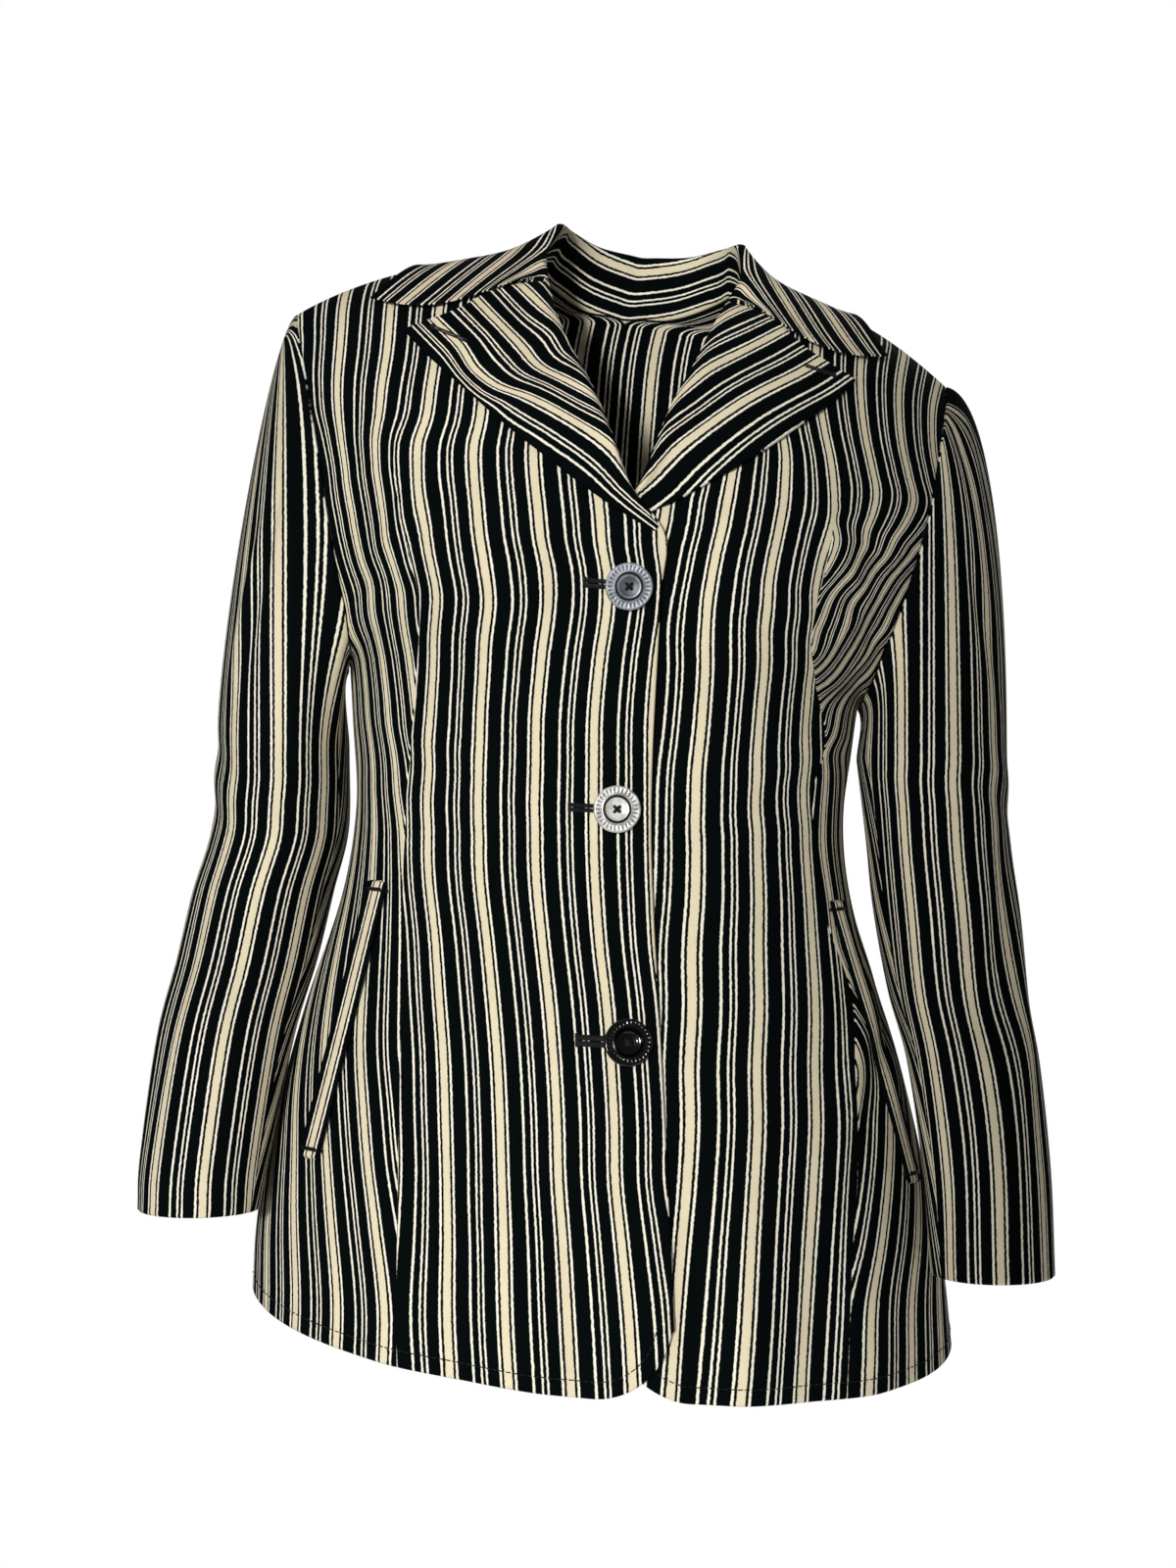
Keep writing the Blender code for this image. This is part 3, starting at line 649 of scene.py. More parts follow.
def lapel_grid(surface, rows, columns, first):
    """A lapel lying on its front: across from the roll line to the free edge, up from the break."""
    s = np.linspace(first, 1, rows)
    roll = along(LAPEL_ROLL, rows, first)
    edge = along(LAPEL_EDGE, rows, first)
    c = np.linspace(0, 1, columns)
    xz = roll[:, None] * (1 - c)[None, :, None] + edge[:, None] * c[None, :, None]
    top = along(GORGE + (LAPEL_EDGE[-1],), columns) - np.array([0, SEAM])
    straight = roll[-1] * (1 - c)[:, None] + edge[-1] * c[:, None]
    xz = xz + (top - straight)[None] * (s[:, None, None] ** LAPEL_TOP_POWER)
    points, out = nearest_on(surface, xz)
    return points + out * (DOUBLE + LAPEL_GAP)


def collar_half(surface_front, surface_back):
    """Half of the collar: straight stand, a round roll at the fold, then the fall down to its free edge."""
    seam, fold, edge = (along(line, COLLAR_ROWS) for line in (COLLAR_SEAM, COLLAR_FOLD, COLLAR_EDGE))
    outward = unit((edge - fold) * np.array([1.0, 1.0, 0.0]))
    up = np.array([0, 0, 1.0])
    height = np.linalg.norm(fold - seam, axis=1)
    radius = np.clip(ROLL_SHARE * height, ROLL_LEAST, COLLAR_ROLL)[:, None]
    top = fold - up * radius
    columns = [seam + (top - seam) * t for t in np.linspace(0, 1, STAND_COLUMNS)]
    centre = top + outward * radius
    for degrees in ROLL_ANGLES:
        a = math.radians(degrees)
        columns.append(centre + outward * radius * math.cos(a) + up * radius * math.sin(a))
    start = columns[-1]
    end_path = along(((fold[-1][0], fold[-1][2]),) + GORGE[1:] + COLLAR_POINT, FALL_COLUMNS + 1)
    share = np.linspace(0, 1, COLLAR_ROWS)[:, None] ** COLLAR_END_POWER
    for k in range(1, FALL_COLUMNS + 1):
        t = k / FALL_COLUMNS
        p = start + (edge - start) * t
        p = p + (outward * BULGE_WAY[0] + up * BULGE_WAY[1]) * FALL_BULGE * math.sin(math.pi * t)
        target = np.array([end_path[k][0], p[-1][1], end_path[k][1] + SEAM])
        p = p + (target - p[-1]) * share
        columns.append(p)
    grid = np.stack(columns, axis=1)
    first = STAND_COLUMNS + 1
    on_front, out = nearest_on(surface_front, grid[-1, first:][:, [0, 2]])
    laid = on_front + out * (DOUBLE + LAPEL_GAP)
    grid[:, first:] += (laid - grid[-1, first:])[None] * share[:, :, None]
    ways = -normals(grid)[:, first:]
    below = (surface_front, surface_back)
    grid[:, first:] = lift_clear(grid[:, first:], ways, below, DOUBLE + COLLAR_GAP)
    return grid


def sleeve_grid(loop, table, side, head_rings, sleeve_rings):
    """A sleeve's outer face in the worn frame, rings from the armhole down to the cuff.

    Above the first section each point of the armhole follows its own cubic down to that section's ellipse;
    below it the rings are ellipses whose size and place follow the table. Also gives each column's angle.
    """
    rows = np.array(table, float)
    count = len(loop)
    half = count // 2
    run = run_along(np.vstack([loop, loop[:1]]))
    angle = np.where(
        np.arange(count) <= half,
        np.pi * run[:-1] / run[half],
        np.pi + np.pi * (run[:-1] - run[half]) / (run[-1] - run[half]),
    )
    cx, sy = np.cos(angle), np.sin(angle)

    def rings_of(sections):
        z, x, y, half_width, half_depth = (column[:, None] for column in sections.T)
        return np.stack([x + side * half_width * cx, y - half_depth * sy, z + 0 * cx], axis=-1)

    first = rings_of(rows[:1])[0]
    high = ((1 + cx) / 2)[:, None]
    out, up = UNDERARM_LEAVE
    leave = high * np.array([side * CAP_REACH[side], 0, -CAP_DROP])
    leave = leave + (1 - high) * np.array([side * out, 0, up])
    fall = (loop[:, 2] - first[:, 2])[:, None]
    arrive = np.concatenate([np.zeros((count, 2)), -CAP_ARRIVE * fall], axis=1)
    start = loop + unit(leave) * SLEEVE_GAP
    t = (np.linspace(0, 1, head_rings) ** HEAD_SPACING)[:, None, None]
    head = (
        (1 - soft_step(t)) * start
        + (t**3 - 2 * t**2 + t) * leave
        + soft_step(t) * first
        + (t**3 - t**2) * arrive
    )
    down = np.linspace(0, 1, sleeve_rings + 1)[1:] * (len(rows) - 1)
    grid = np.concatenate([head, rings_of(smooth(np.arange(len(rows)), rows, down))])
    return grid, angle


def inner_face(outer, thickness, seams=(), wrap=False):
    """The inner face of a wall: the outer one less its normals.

    Along a seam the offset is square to one axis.
    """
    out = normals(outer, wrap)
    for where, axis in seams:
        out[where + (axis,)] = 0
        out[where] = unit(out[where])
    return outer - out * thickness


def rim_runs(rows, cols, wrap):
    """Steps round the free edges of a grid.

    Each is the row and column of its start and end, with the outer face on the left.
    """
    if wrap:
        c = np.arange(cols)
        low = np.zeros(cols, int)
        high = low + rows - 1
        return [(low, c, low, c + 1), (high, cols - c, high, cols - c - 1)]
    r, c = np.arange(rows - 1), np.arange(cols - 1)
    rr = np.concatenate([0 * c, r, 0 * c + rows - 1, rows - 1 - r])
    cc = np.concatenate([c, 0 * r + cols - 1, cols - 1 - c, 0 * r])
    return [(rr, cc, np.roll(rr, -1), np.roll(cc, -1))]


def shell(name, outer, inner, cuts, wrap=False):
    """A closed piece of cloth between two grids, with a round rim and its grain as a UV map.

    The rim is a row of points half way through the cloth, pushed out by half its thickness.
    `cuts` lists first columns with the grain of the faces from there on, so that stripes can meet at a
    seam without a smear. The
    grain of a closed ring has one more column than its points.
    """
    rows, cols = outer.shape[:2]
    width = cuts[0][1].shape[1]
    size = rows * cols
    r, c = (a.ravel() for a in np.meshgrid(np.arange(rows - 1), np.arange(width - 1), indexing="ij"))
    corner_row, corner_col = np.stack([r, r, r + 1, r + 1], 1), np.stack([c, c + 1, c + 1, c], 1)
    face = corner_row * cols + corner_col % cols
    grain_at = corner_row * width + corner_col
    turned = [0, 3, 2, 1]
    faces, grains, column = [face, face[:, turned] + size], [grain_at, grain_at[:, turned]], [c, c]
    points, first = [outer.reshape(-1, 3), inner.reshape(-1, 3)], 2 * size
    for rr, cc, rr2, cc2 in rim_runs(rows, cols, wrap):
        here, there = outer[rr, cc % cols], inner[rr, cc % cols]
        inside = outer[np.clip(rr, 1, rows - 2), cc % cols if wrap else np.clip(cc, 1, cols - 2)]
        away = unit(here - inside, 1e-9)
        thick = np.linalg.norm(there - here, axis=1, keepdims=True)
        points.append((here + there) / 2 + away * thick / 2)
        mid = first + np.arange(len(rr))
        first += len(rr)
        ahead = np.roll(mid, -1)
        at, to = rr * cols + cc % cols, rr2 * cols + cc2 % cols
        g, g2 = rr * width + cc, rr2 * width + cc2
        faces += [np.stack([at, mid, ahead, to], 1), np.stack([mid, at + size, to + size, ahead], 1)]
        grains += [np.stack([g, g, g2, g2], 1)] * 2
        column += [np.minimum(cc, cc2)] * 2
    faces, grains, column = np.concatenate(faces), np.concatenate(grains), np.concatenate(column)
    ob = solid(name, np.concatenate(points) * MM, faces)
    uv = cuts[0][1].reshape(-1, 2)[grains]
    for start, grain in cuts[1:]:
        uv = np.where((column >= start)[:, None, None], grain.reshape(-1, 2)[grains], uv)
    ob.data.uv_layers.new(name="grain").uv.foreach_set("vector", (uv * MM).ravel())
    return ob


def solid(name, points, faces):
    """A mesh object from arrays of points in metres and faces."""
    mesh = bpy.data.meshes.new(name)
    faces = faces if isinstance(faces, list) else faces.tolist()
    mesh.from_pydata(np.asarray(points).tolist(), [], faces)
    mesh.shade_smooth()
    ob = bpy.data.objects.new(name, mesh)
    bpy.context.scene.collection.objects.link(ob)
    return ob


def ring_walls(rings, sides):
    """Faces that join each ring of points to the next one: four corners, round the ring first, then on."""
    k, s = (v.ravel() for v in np.meshgrid(np.arange(rings - 1), np.arange(sides), indexing="ij"))
    n = (s + 1) % sides
    return np.stack([k * sides + s, k * sides + n, (k + 1) * sides + n, (k + 1) * sides + s], 1)


def tubes(paths, radius, sides=8):
    """Points and faces of round threads along paths of equal length, each closed by a point at both ends.

    Round each path point stands a ring of `sides` points in the plane square to the path.
    """
    paths = np.asarray(paths, float)
    count, length = paths.shape[:2]
    ahead = unit(np.gradient(paths, axis=1))
    guide = np.where(np.abs(ahead[..., 1:2]) < 0.9, [[[0.0, 1.0, 0.0]]], [[[1.0, 0.0, 0.0]]])
    one = unit(np.cross(ahead, guide))
    two = np.cross(ahead, one)
    a = 2 * np.pi * np.arange(sides) / sides
    ring = one[:, :, None] * np.cos(a)[:, None] + two[:, :, None] * np.sin(a)[:, None]
    skin = paths[:, :, None] + ring * radius
    ends = paths[:, [0, -1]] + ahead[:, [0, -1]] * radius * np.array([-THREAD_END, THREAD_END])[None, :, None]
    points = np.concatenate([skin.reshape(count, -1, 3), ends], axis=1)
    s = np.arange(sides)
    n, last = (s + 1) % sides, (length - 1) * sides
    start, end = length * sides, length * sides + 1
    caps = [np.stack([n, s, 0 * s + start], 1), np.stack([last + s, last + n, 0 * s + end], 1)]
    offset = (np.arange(count) * (length * sides + 2))[:, None, None]
    quads = (ring_walls(length, sides)[None] + offset).reshape(-1, 4).tolist()
    tris = (np.concatenate(caps)[None] + offset).reshape(-1, 3).tolist()
    return points.reshape(-1, 3), quads + tris


# ------------------------------------------------------------------ node trees

YARN_GRIT, YARN_CROSS = 0.9, 0.5  # shares of uneven fibre and of crossing yarns in the relief
YARN_CLOUDS = 45.0  # scale of the slow change of shade over the cloth
YARN_SHADE = (0.34, 0.12, 0.77)  # shares of fine and slow change in the shade, and its level
WANDER_SCALE = 420.0
CLOTH_ROUGHNESS, CLOTH_SPECULAR = 0.88, 0.03
CLOTH_RELIEF = (0.00022, 0.7)  # depth in metres, and strength
THREAD_PITCH = 0.0003
THREAD_ROUGHNESS, THREAD_SPECULAR = 0.55, 0.25
THREAD_RELIEF = 0.0001
METAL_GRAIN = 900.0
METAL_RELIEF = (0.00006, 0.6)
TARNISH_SHARE = 0.22  # scale of the rub marks as a share of the grain's
TARNISH = ((0.34, 0.55), (0.6, 1.0))  # noise value, and how much of the clean colour is left
WORN_ROUGHNESS = 0.16  # how far the roughness changes over a button


def socket(tree, name, kind, out=False, value=None):
    """Add an input or output to a node group."""
    new = tree.interface.new_socket(name=name, in_out="OUTPUT" if out else "INPUT", socket_type=kind)
    if value is not None:
        new.default_value = value


def place(tree, kind, inputs=(), **settings):
    """Add a node, set it up and feed its inputs: each is (socket, value or another node's output)."""
    node = tree.nodes.new(kind)
    for key, value in settings.items():
        setattr(node, key, value)
    for key, value in inputs:
        if isinstance(value, bpy.types.NodeSocket):
            tree.links.new(value, node.inputs[key])
        else:
            node.inputs[key].default_value = value
    return node


def sums(tree, operation, a, b=0.0, c=0.0):
    """One Math node's result."""
    return place(tree, "ShaderNodeMath", ((0, a), (1, b), (2, c)), operation=operation).outputs[0]


def ramp(tree, fac, stops):
    """A colour ramp with linear steps between (position, colour) stops."""
    node = place(tree, "ShaderNodeValToRGB", ((0, fac),))
    marks = node.color_ramp.elements
    for k, (at, colour) in enumerate(stops):
        mark = marks[k] if k < 2 else marks.new(at)
        mark.position = at
        mark.color = colour
    return node.outputs[0]


def noise(tree, vector, scale, detail=2.0, **more):
    """A noise texture's value."""
    inputs = (("Vector", vector), ("Scale", scale), ("Detail", detail)) + tuple(more.items())
    return place(tree, "ShaderNodeTexNoise", inputs).outputs[0]


def scaled(tree, vector, share):
    """A vector or colour times a number."""
    node = place(tree, "ShaderNodeVectorMath", ((0, vector), ("Scale", share)), operation="SCALE")
    return node.outputs["Vector"]


def opaque(colour):
    """A colour with its full alpha."""
    return tuple(colour) + (1.0,)


def yarn_group():
    """Fine fibre: a crossing weave with uneven threads.

    Puts out a height and a shade that varies about one.
    """
    tree = bpy.data.node_groups.new("yarn_relief", "ShaderNodeTree")
    socket(tree, "Vector", "NodeSocketVector")
    socket(tree, "Pitch", "NodeSocketFloat", value=0.0006)
    socket(tree, "Height", "NodeSocketFloat", out=True)
    socket(tree, "Shade", "NodeSocketFloat", out=True)
    into = tree.nodes.new("NodeGroupInput")
    out = tree.nodes.new("NodeGroupOutput")
    scale = sums(tree, "DIVIDE", 1.0, into.outputs["Pitch"])
    grit = noise(tree, into.outputs["Vector"], scale, Roughness=0.6)
    angle = scaled(tree, into.outputs["Vector"], sums(tree, "MULTIPLY", scale, math.pi))
    axes = place(tree, "ShaderNodeSeparateXYZ", ((0, angle),)).outputs
    warp, weft = sums(tree, "SINE", axes[0]), sums(tree, "SINE", axes[1])
    cross = sums(tree, "ABSOLUTE", sums(tree, "MULTIPLY", warp, weft))
    height = sums(tree, "MULTIPLY_ADD", grit, YARN_GRIT, sums(tree, "MULTIPLY", cross, YARN_CROSS))
    slow = noise(tree, into.outputs["Vector"], YARN_CLOUDS)
    fine_share, slow_share, level = YARN_SHADE
    slow_shade = sums(tree, "MULTIPLY_ADD", slow, slow_share, level)
    shade = sums(tree, "ADD", sums(tree, "MULTIPLY", grit, fine_share), slow_shade)
    tree.links.new(height, out.inputs["Height"])
    tree.links.new(shade, out.inputs["Shade"])
    return tree


def metal_group():
    """Cast metal: shallow dents and rub marks. Puts out a height and a tarnish mask."""
    tree = bpy.data.node_groups.new("cast_relief", "ShaderNodeTree")
    socket(tree, "Scale", "NodeSocketFloat", value=METAL_GRAIN)
    socket(tree, "Height", "NodeSocketFloat", out=True)
    socket(tree, "Tarnish", "NodeSocketFloat", out=True)
    into = tree.nodes.new("NodeGroupInput")
    out = tree.nodes.new("NodeGroupOutput")
    at = tree.nodes.new("ShaderNodeTexCoord").outputs["Object"]
    fine = noise(tree, at, into.outputs["Scale"], 3.0)
    slow = noise(tree, at, sums(tree, "MULTIPLY", into.outputs["Scale"], TARNISH_SHARE))
    tree.links.new(fine, out.inputs["Height"])
    tree.links.new(slow, out.inputs["Tarnish"])
    return tree


def group(name, maker):
    """A shared node group, made the first time it is asked for."""
    return bpy.data.node_groups.get(name) or maker()


def yarn(tree, vector, pitch):
    """The shared fibre effect's height and shade on a vector, with yarns a pitch apart."""
    fibre = group("yarn_relief", yarn_group)
    return place(tree, "ShaderNodeGroup", (("Vector", vector), ("Pitch", pitch)), node_tree=fibre).outputs


def fresh_material(name):
    """A new material with its shader, ready for colour and relief."""
    mat = bpy.data.materials.new(name)
    mat.use_nodes = True
    return mat, mat.node_tree, mat.node_tree.nodes["Principled BSDF"]


def relief(tree, shader, height, distance, strength=1.0):
    """Feed a height into the shader's normal."""
    bump = place(tree, "ShaderNodeBump", (("Height", height), ("Distance", distance), ("Strength", strength)))
    tree.links.new(bump.outputs[0], shader.inputs["Normal"])


def stripe_stops(colours):
    """Colour ramp stops of one repeat: a flat run for each stripe and a short blend where yarns change."""
    soft = STRIPE_SOFT / REPEAT
    stops, at = [], 0.0
    for width, yarn in STRIPES:
        end = at + width / REPEAT
        stops += [(at + soft, colours[yarn]), (end - soft, colours[yarn])]
        at = end
    stops[0] = (0.0, colours[STRIPES[0][1]])
    stops[-1] = (1.0, colours[STRIPES[-1][1]])
    return stops


def cloth_material():
    """Crepe with woven stripes, coloured by the grain map: its first value wanders a little, as yarn does."""
    known = bpy.data.materials.get("striped_crepe")
    if known:
        return known
    looks = bpy.context.scene.blazer_cloth
    mat, tree, shader = fresh_material("striped_crepe")
    grain = place(tree, "ShaderNodeUVMap", uv_map="grain").outputs[0]
    u = place(tree, "ShaderNodeSeparateXYZ", ((0, grain),)).outputs[0]
    wander = noise(tree, grain, WANDER_SCALE)
    across = sums(tree, "MULTIPLY_ADD", sums(tree, "SUBTRACT", wander, 0.5), looks.wander, u)
    repeat = REPEAT * MM
    share = sums(tree, "DIVIDE", sums(tree, "ADD", across, CREAM_MIDDLE * MM), repeat)
    share = sums(tree, "FRACT", share)
    colours = {yarn_name: opaque(getattr(looks, yarn_name)) for yarn_name in ("cream", "pale", "navy", "pin")}
    stripes = ramp(tree, share, stripe_stops(colours))
    fibre = yarn(tree, grain, looks.pitch)
    tree.links.new(scaled(tree, stripes, fibre["Shade"]), shader.inputs["Base Color"])
    shader.inputs["Roughness"].default_value = CLOTH_ROUGHNESS
    shader.inputs["Specular IOR Level"].default_value = CLOTH_SPECULAR
    relief(tree, shader, fibre["Height"], *CLOTH_RELIEF)
    return mat


def thread_material():
    """Black sewing thread, slightly glossy, with a twist in its relief."""
    known = bpy.data.materials.get("black_thread")
    if known:
        return known
    mat, tree, shader = fresh_material("black_thread")
    at = tree.nodes.new("ShaderNodeTexCoord").outputs["Object"]
    fibre = yarn(tree, at, THREAD_PITCH)
    black = tuple(bpy.context.scene.blazer_sewing.thread)
    tree.links.new(scaled(tree, black, fibre["Shade"]), shader.inputs["Base Color"])
    shader.inputs["Roughness"].default_value = THREAD_ROUGHNESS
    shader.inputs["Specular IOR Level"].default_value = THREAD_SPECULAR
    relief(tree, shader, fibre["Height"], THREAD_RELIEF)
    return mat


def button_material(name, colour, painted_dark, metallic, roughness):
    """A button's finish, with painted shade in its recesses, darker where it is tarnished, rougher where it
    is worn.
    """
    mat, tree, shader = fresh_material(name)
    grain = group("cast_relief", metal_group)
    cast = place(tree, "ShaderNodeGroup", (("Scale", METAL_GRAIN),), node_tree=grain)
    worn = ramp(tree, cast.outputs["Tarnish"], [(at, opaque([level] * 3)) for at, level in TARNISH])
    # painted shade stored on the button's points: groove, rim's edges and marks, and the dished middle
    painted_shade = tree.nodes.new("ShaderNodeAttribute")
    painted_shade.attribute_name = "painted_shade"
    unshaded_clean = sums(tree, "MULTIPLY", worn, sums(tree, "SUBTRACT", 1.0, painted_shade.outputs["Fac"]))
    # the colour goes towards the dark one in the painted shade and where it is tarnished
    mix = place(
        tree,
        "ShaderNodeMix",
        (("Factor", unshaded_clean), ("A", opaque(painted_dark)), ("B", opaque(colour))),
        data_type="RGBA",
    )
    tree.links.new(mix.outputs["Result"], shader.inputs["Base Color"])
    rough = sums(tree, "MULTIPLY_ADD", cast.outputs["Height"], WORN_ROUGHNESS, roughness - WORN_ROUGHNESS / 2)
    tree.links.new(rough, shader.inputs["Roughness"])
    shader.inputs["Metallic"].default_value = metallic
    relief(tree, shader, cast.outputs["Height"], *METAL_RELIEF)
    return mat


# ------------------------------------------------------------------ details that only the looks have

BACK_SHIFT = 9.0  # how far the stripe repeat starts from the centre seam
DETAIL_RIGHT = (  # x, z, run in degrees from level, half length, half width, depth
    (70, -166, 8, 60, 9, 1.6),
    (70, -186, 6, 60, 9, -1.4),
    (70, -288, 4, 60, 10, 1.3),
    (60, -306, 2, 50, 9, -1.2),
    (78, -500, 70, 34, 12, 1.8),
    (60, -520, 70, 30, 9, -1.4),
)
DETAIL_LEFT = (  # the same columns
    (64, -172, -6, 60, 9, 1.6),
    (64, -190, -8, 60, 9, -1.4),
    (132, -168, 50, 34, 5, 1.6),
    (140, -182, 50, 34, 5, -1.4),
    (132, -196, 48, 30, 5, 1.4),
    (128, -214, 46, 26, 5, -1.2),
    (126, -440, 76, 60, 10, 2.6),
    (142, -430, 70, 60, 9, -2.2),
    (62, -296, 6, 50, 10, 1.2),
)
UNDER_SEAMS = (152.0, 222.0)  # degrees round the sleeve where its under part begins and ends
UNDER_TILT = 0.25  # how much the under part's stripes lean, sideways per length
SLEEVE_REFERENCE = 55.0  # degrees round the sleeve of the line that its stripes run beside
SLEEVE_LEFT_SHIFTS = (9.0, 0.0, 9.0)  # of the stripes on its front, under and back parts
SLEEVE_RIGHT_SHIFTS = (4.0, 0.0, 4.0)
SLEEVE_LEFT_FOLDS = (  # distance round from the shoulder line, z, run, half length, half width, depth
    (30, -75, -70, 30, 7, 1.8),
    (46, -84, -72, 30, 6, -1.4),
    (40, -282, 18, 50, 9, -1.1),
    (40, -266, 16, 50, 9, 0.9),
    (30, -400, -74, 90, 14, 3.0),
    (58, -400, -74, 90, 12, -2.4),
    (60, -180, 60, 44, 9, -2.0),
)
SLEEVE_RIGHT_FOLDS = (  # the same columns
    (62, -170, 78, 46, 7, -3.0),
    (50, -170, 78, 46, 6, 2.4),
    (28, -260, -18, 44, 9, -1.1),
    (28, -276, -20, 44, 9, 1.0),
    (30, -294, -16, 40, 9, -0.9),
    (34, -390, 80, 70, 11, -2.0),
)
LAPEL_SWELL = 3.2  # height of the soft roll beside the roll line
LAPEL_SWELL_START = 0.02  # share of the way up from which it grows
LAPEL_SWELL_AT, LAPEL_SWELL_WIDTH = 0.10, 0.13  # shares of the way across
LAPEL_TUCK, LAPEL_TUCK_WIDTH = 1.6, 0.035  # how far the roll line itself turns in
LAPEL_SINK = 2.6  # how much closer to the front the lower end lies
LAPEL_RISE_SHARE = 0.2  # share of the way up over which the lower end rises
LAPEL_END_THIN = 0.3  # thickness of the lower end as a share of the lapel's
LAPEL_LEFT_FOLDS = ((70, -62, 30, 30, 12, 1.2),)  # columns as in DETAIL_RIGHT
LAPEL_RIGHT_FOLDS = ((58, -30, 50, 26, 9, -1.8), (70, -62, 30, 30, 12, 1.2))
LAPEL_LEFT_GRAIN = (  # share of the way up, edge to outer wide stripe, stretch outside and inside that stripe
    (0.0, 12.0, 0.85, 1.3),
    (0.15, 16.7, 0.85, 1.3),
    (0.34, 24.2, 0.86, 1.3),
    (0.50, 27.3, 0.92, 1.3),
    (0.66, 27.4, 0.95, 1.15),
    (0.81, 24.8, 0.98, 1.1),
    (1.0, 20.5, 1.0, 1.08),
)
LAPEL_RIGHT_GRAIN = (  # the same columns
    (0.0, 13.0, 1.5, 1.0),
    (0.17, 19.0, 1.15, 1.0),
    (0.31, 26.5, 0.88, 1.2),
    (0.47, 26.0, 0.83, 1.5),
    (0.60, 20.0, 1.0, 1.35),
    (0.68, 12.5, 1.5, 1.15),
    (0.76, 11.0, 1.8, 1.0),
    (0.87, 16.0, 1.5, 1.1),
    (1.0, 16.0, 1.5, 1.1),
)
COLLAR_SHIFT = 24.0  # from the collar's free edge to the start of a stripe repeat
COLLAR_END_ROWS = 60  # rows at each end that are smoothed and made thin
COLLAR_END_THIN = 0.35  # thickness of an end as a share of the collar's
COLLAR_RELAX = 0.9
COLLAR_PASSES = (700, 90)  # smoothing passes inside and along the edges
COLLAR_TUCK = (2.0, 5.0, -4.0)  # outwards, back and up, for the end of its stand below the lapel's corner
COLLAR_TUCK_ROWS = 16
COLLAR_TUCK_SHARE = (0.55, 0.2)  # the tuck ends this far across, and fades over this width
WELT_CROWN = 0.5  # how much a welt's middle stands above its edges
WELT_SHIFT = -5.5  # from the stripe repeat to a welt's edge
BUTTONHOLES = (  # far end from the centre line, its rise above the button's height, full height
    (23.0, 0.0, 5.0),
    (25.6, 0.0, 4.4),
    (26.3, 0.5, 6.0),
)
LAPEL_HOLES = (  # start, end, full height
    ((107.5, -39.5), (89.0, -47.0), 2.0),
    ((110.0, -41.5), (94.0, -38.5), 2.0),
)
FLOOR = -0.78  # the stage's lengths are metres
FLOOR_RADII = (0.15, 0.35, 0.5, 0.62)
FLOOR_SIDES = 96
FLOOR_FORWARD = -0.4  # where the floor's middle lies along Y
FLOOR_GLOW = 0.4
FLOOR_CLOUDS, FLOOR_DIM = 3.0, 0.97  # scale of its faint patches, and their brightness
FLOOR_ROUGH = 0.9
SENSOR, FARTHEST = 36.0, 50  # the camera's sensor in mm, and how far it sees in m
CAMERA_PLACE = (-0.022, -1.8, -0.275)
LIGHTS = (  # name, place, aim, width, height, spread in degrees, power, colour
    ("key", (-0.75, -2.6, 0.1), (-0.10, 0.0, -0.3), 0.56, 1.5, 7.0, 2.55, (1.0, 0.99, 0.97)),
    ("side", (2.2, 0.2, 0.2), (0.0, 0.0, -0.28), 1.0, 1.0, 180.0, 3.0, (0.94, 0.98, 1.0)),
    ("top", (-0.3, -0.3, 1.9), (0.0, 0.0, -0.28), 1.0, 1.0, 180.0, 3.5, (1.0, 1.0, 1.0)),
    ("back", (0.6, 2.2, 0.9), (0.0, 0.0, -0.28), 1.4, 1.4, 180.0, 18.0, (1.0, 1.0, 1.0)),
)

# ------------------------------------------------------------------ surfaces

FRONT_UP = (110, 120)  # rows from the hem to the underarm, and from there to the shoulder
FRONT_ACROSS = (84, 56)  # columns to the dart line and beyond it
BACK_ACROSS = 84
LAY_UP = (48, 70)  # the same counts for the surfaces that other pieces are laid on
LAY_ACROSS = 84
HEAD_RINGS, SLEEVE_RINGS = 66, 92  # rings from the armhole to the first section, and from there to the cuff
LAPEL_COARSE = (44, 26)  # rows and columns as laid on the front, and then as refined
LAPEL_FINE = (140, 72)
COLLAR_FINE = (280, 80)
WELT_FINE = (90, 15)
DART_PROBES = 260  # columns that are tried to find a dart line
DART_DEPTH = 0.7
DART_TIP_FADE = 18.0  # height over which a dart's groove ends below its tip
DART_TIP_BLEND = 16.0  # height over which the two grains become one round the tip
SURFACES = {}


def dart_across(dart, up):
    """Column positions of a front with one column on its dart line, found where the line crosses each row."""
    rows = np.arange(len(up))
    probe = np.linspace(0, 1, DART_PROBES)
    grid = panel(FRONT_ROWS, np.tile(probe, (len(up), 1)), up)
    past = grid[..., 0] - by_height(dart, grid[..., 2])[..., 0]
    i = np.argmax(past > 0, axis=1)
    before, after = past[rows, i - 1], past[rows, i]
    at = probe[i - 1] - before / (after - before) * probe[1]
    near, far = eased(FRONT_ACROSS[0]), eased(FRONT_ACROSS[1])[1:]
    return np.concatenate([near * at[:, None], at[:, None] + (1 - at[:, None]) * far], axis=1)


def edge_calm(grid):
    """A mask that is 1 inside a panel and falls to 0 at its side and shoulder, so that seams still meet."""
    side = run_across(grid)
    side = side[:, -1:] - side
    top = run_up(grid)
    top = top[-1:] - top
    return soft_step(np.clip(np.minimum(side, top) / PANEL_CALM, 0, 1))


def grain_of(plain, table, s):
    """Cloth coordinates of a grid's points.

    Across the stripes they follow a table of shift and stretch by height, along them the run up.
    """
    held = by_height(table, plain[..., 2])
    return np.stack([held[..., 0] + held[..., 1] * s, run_up(plain)], axis=-1)


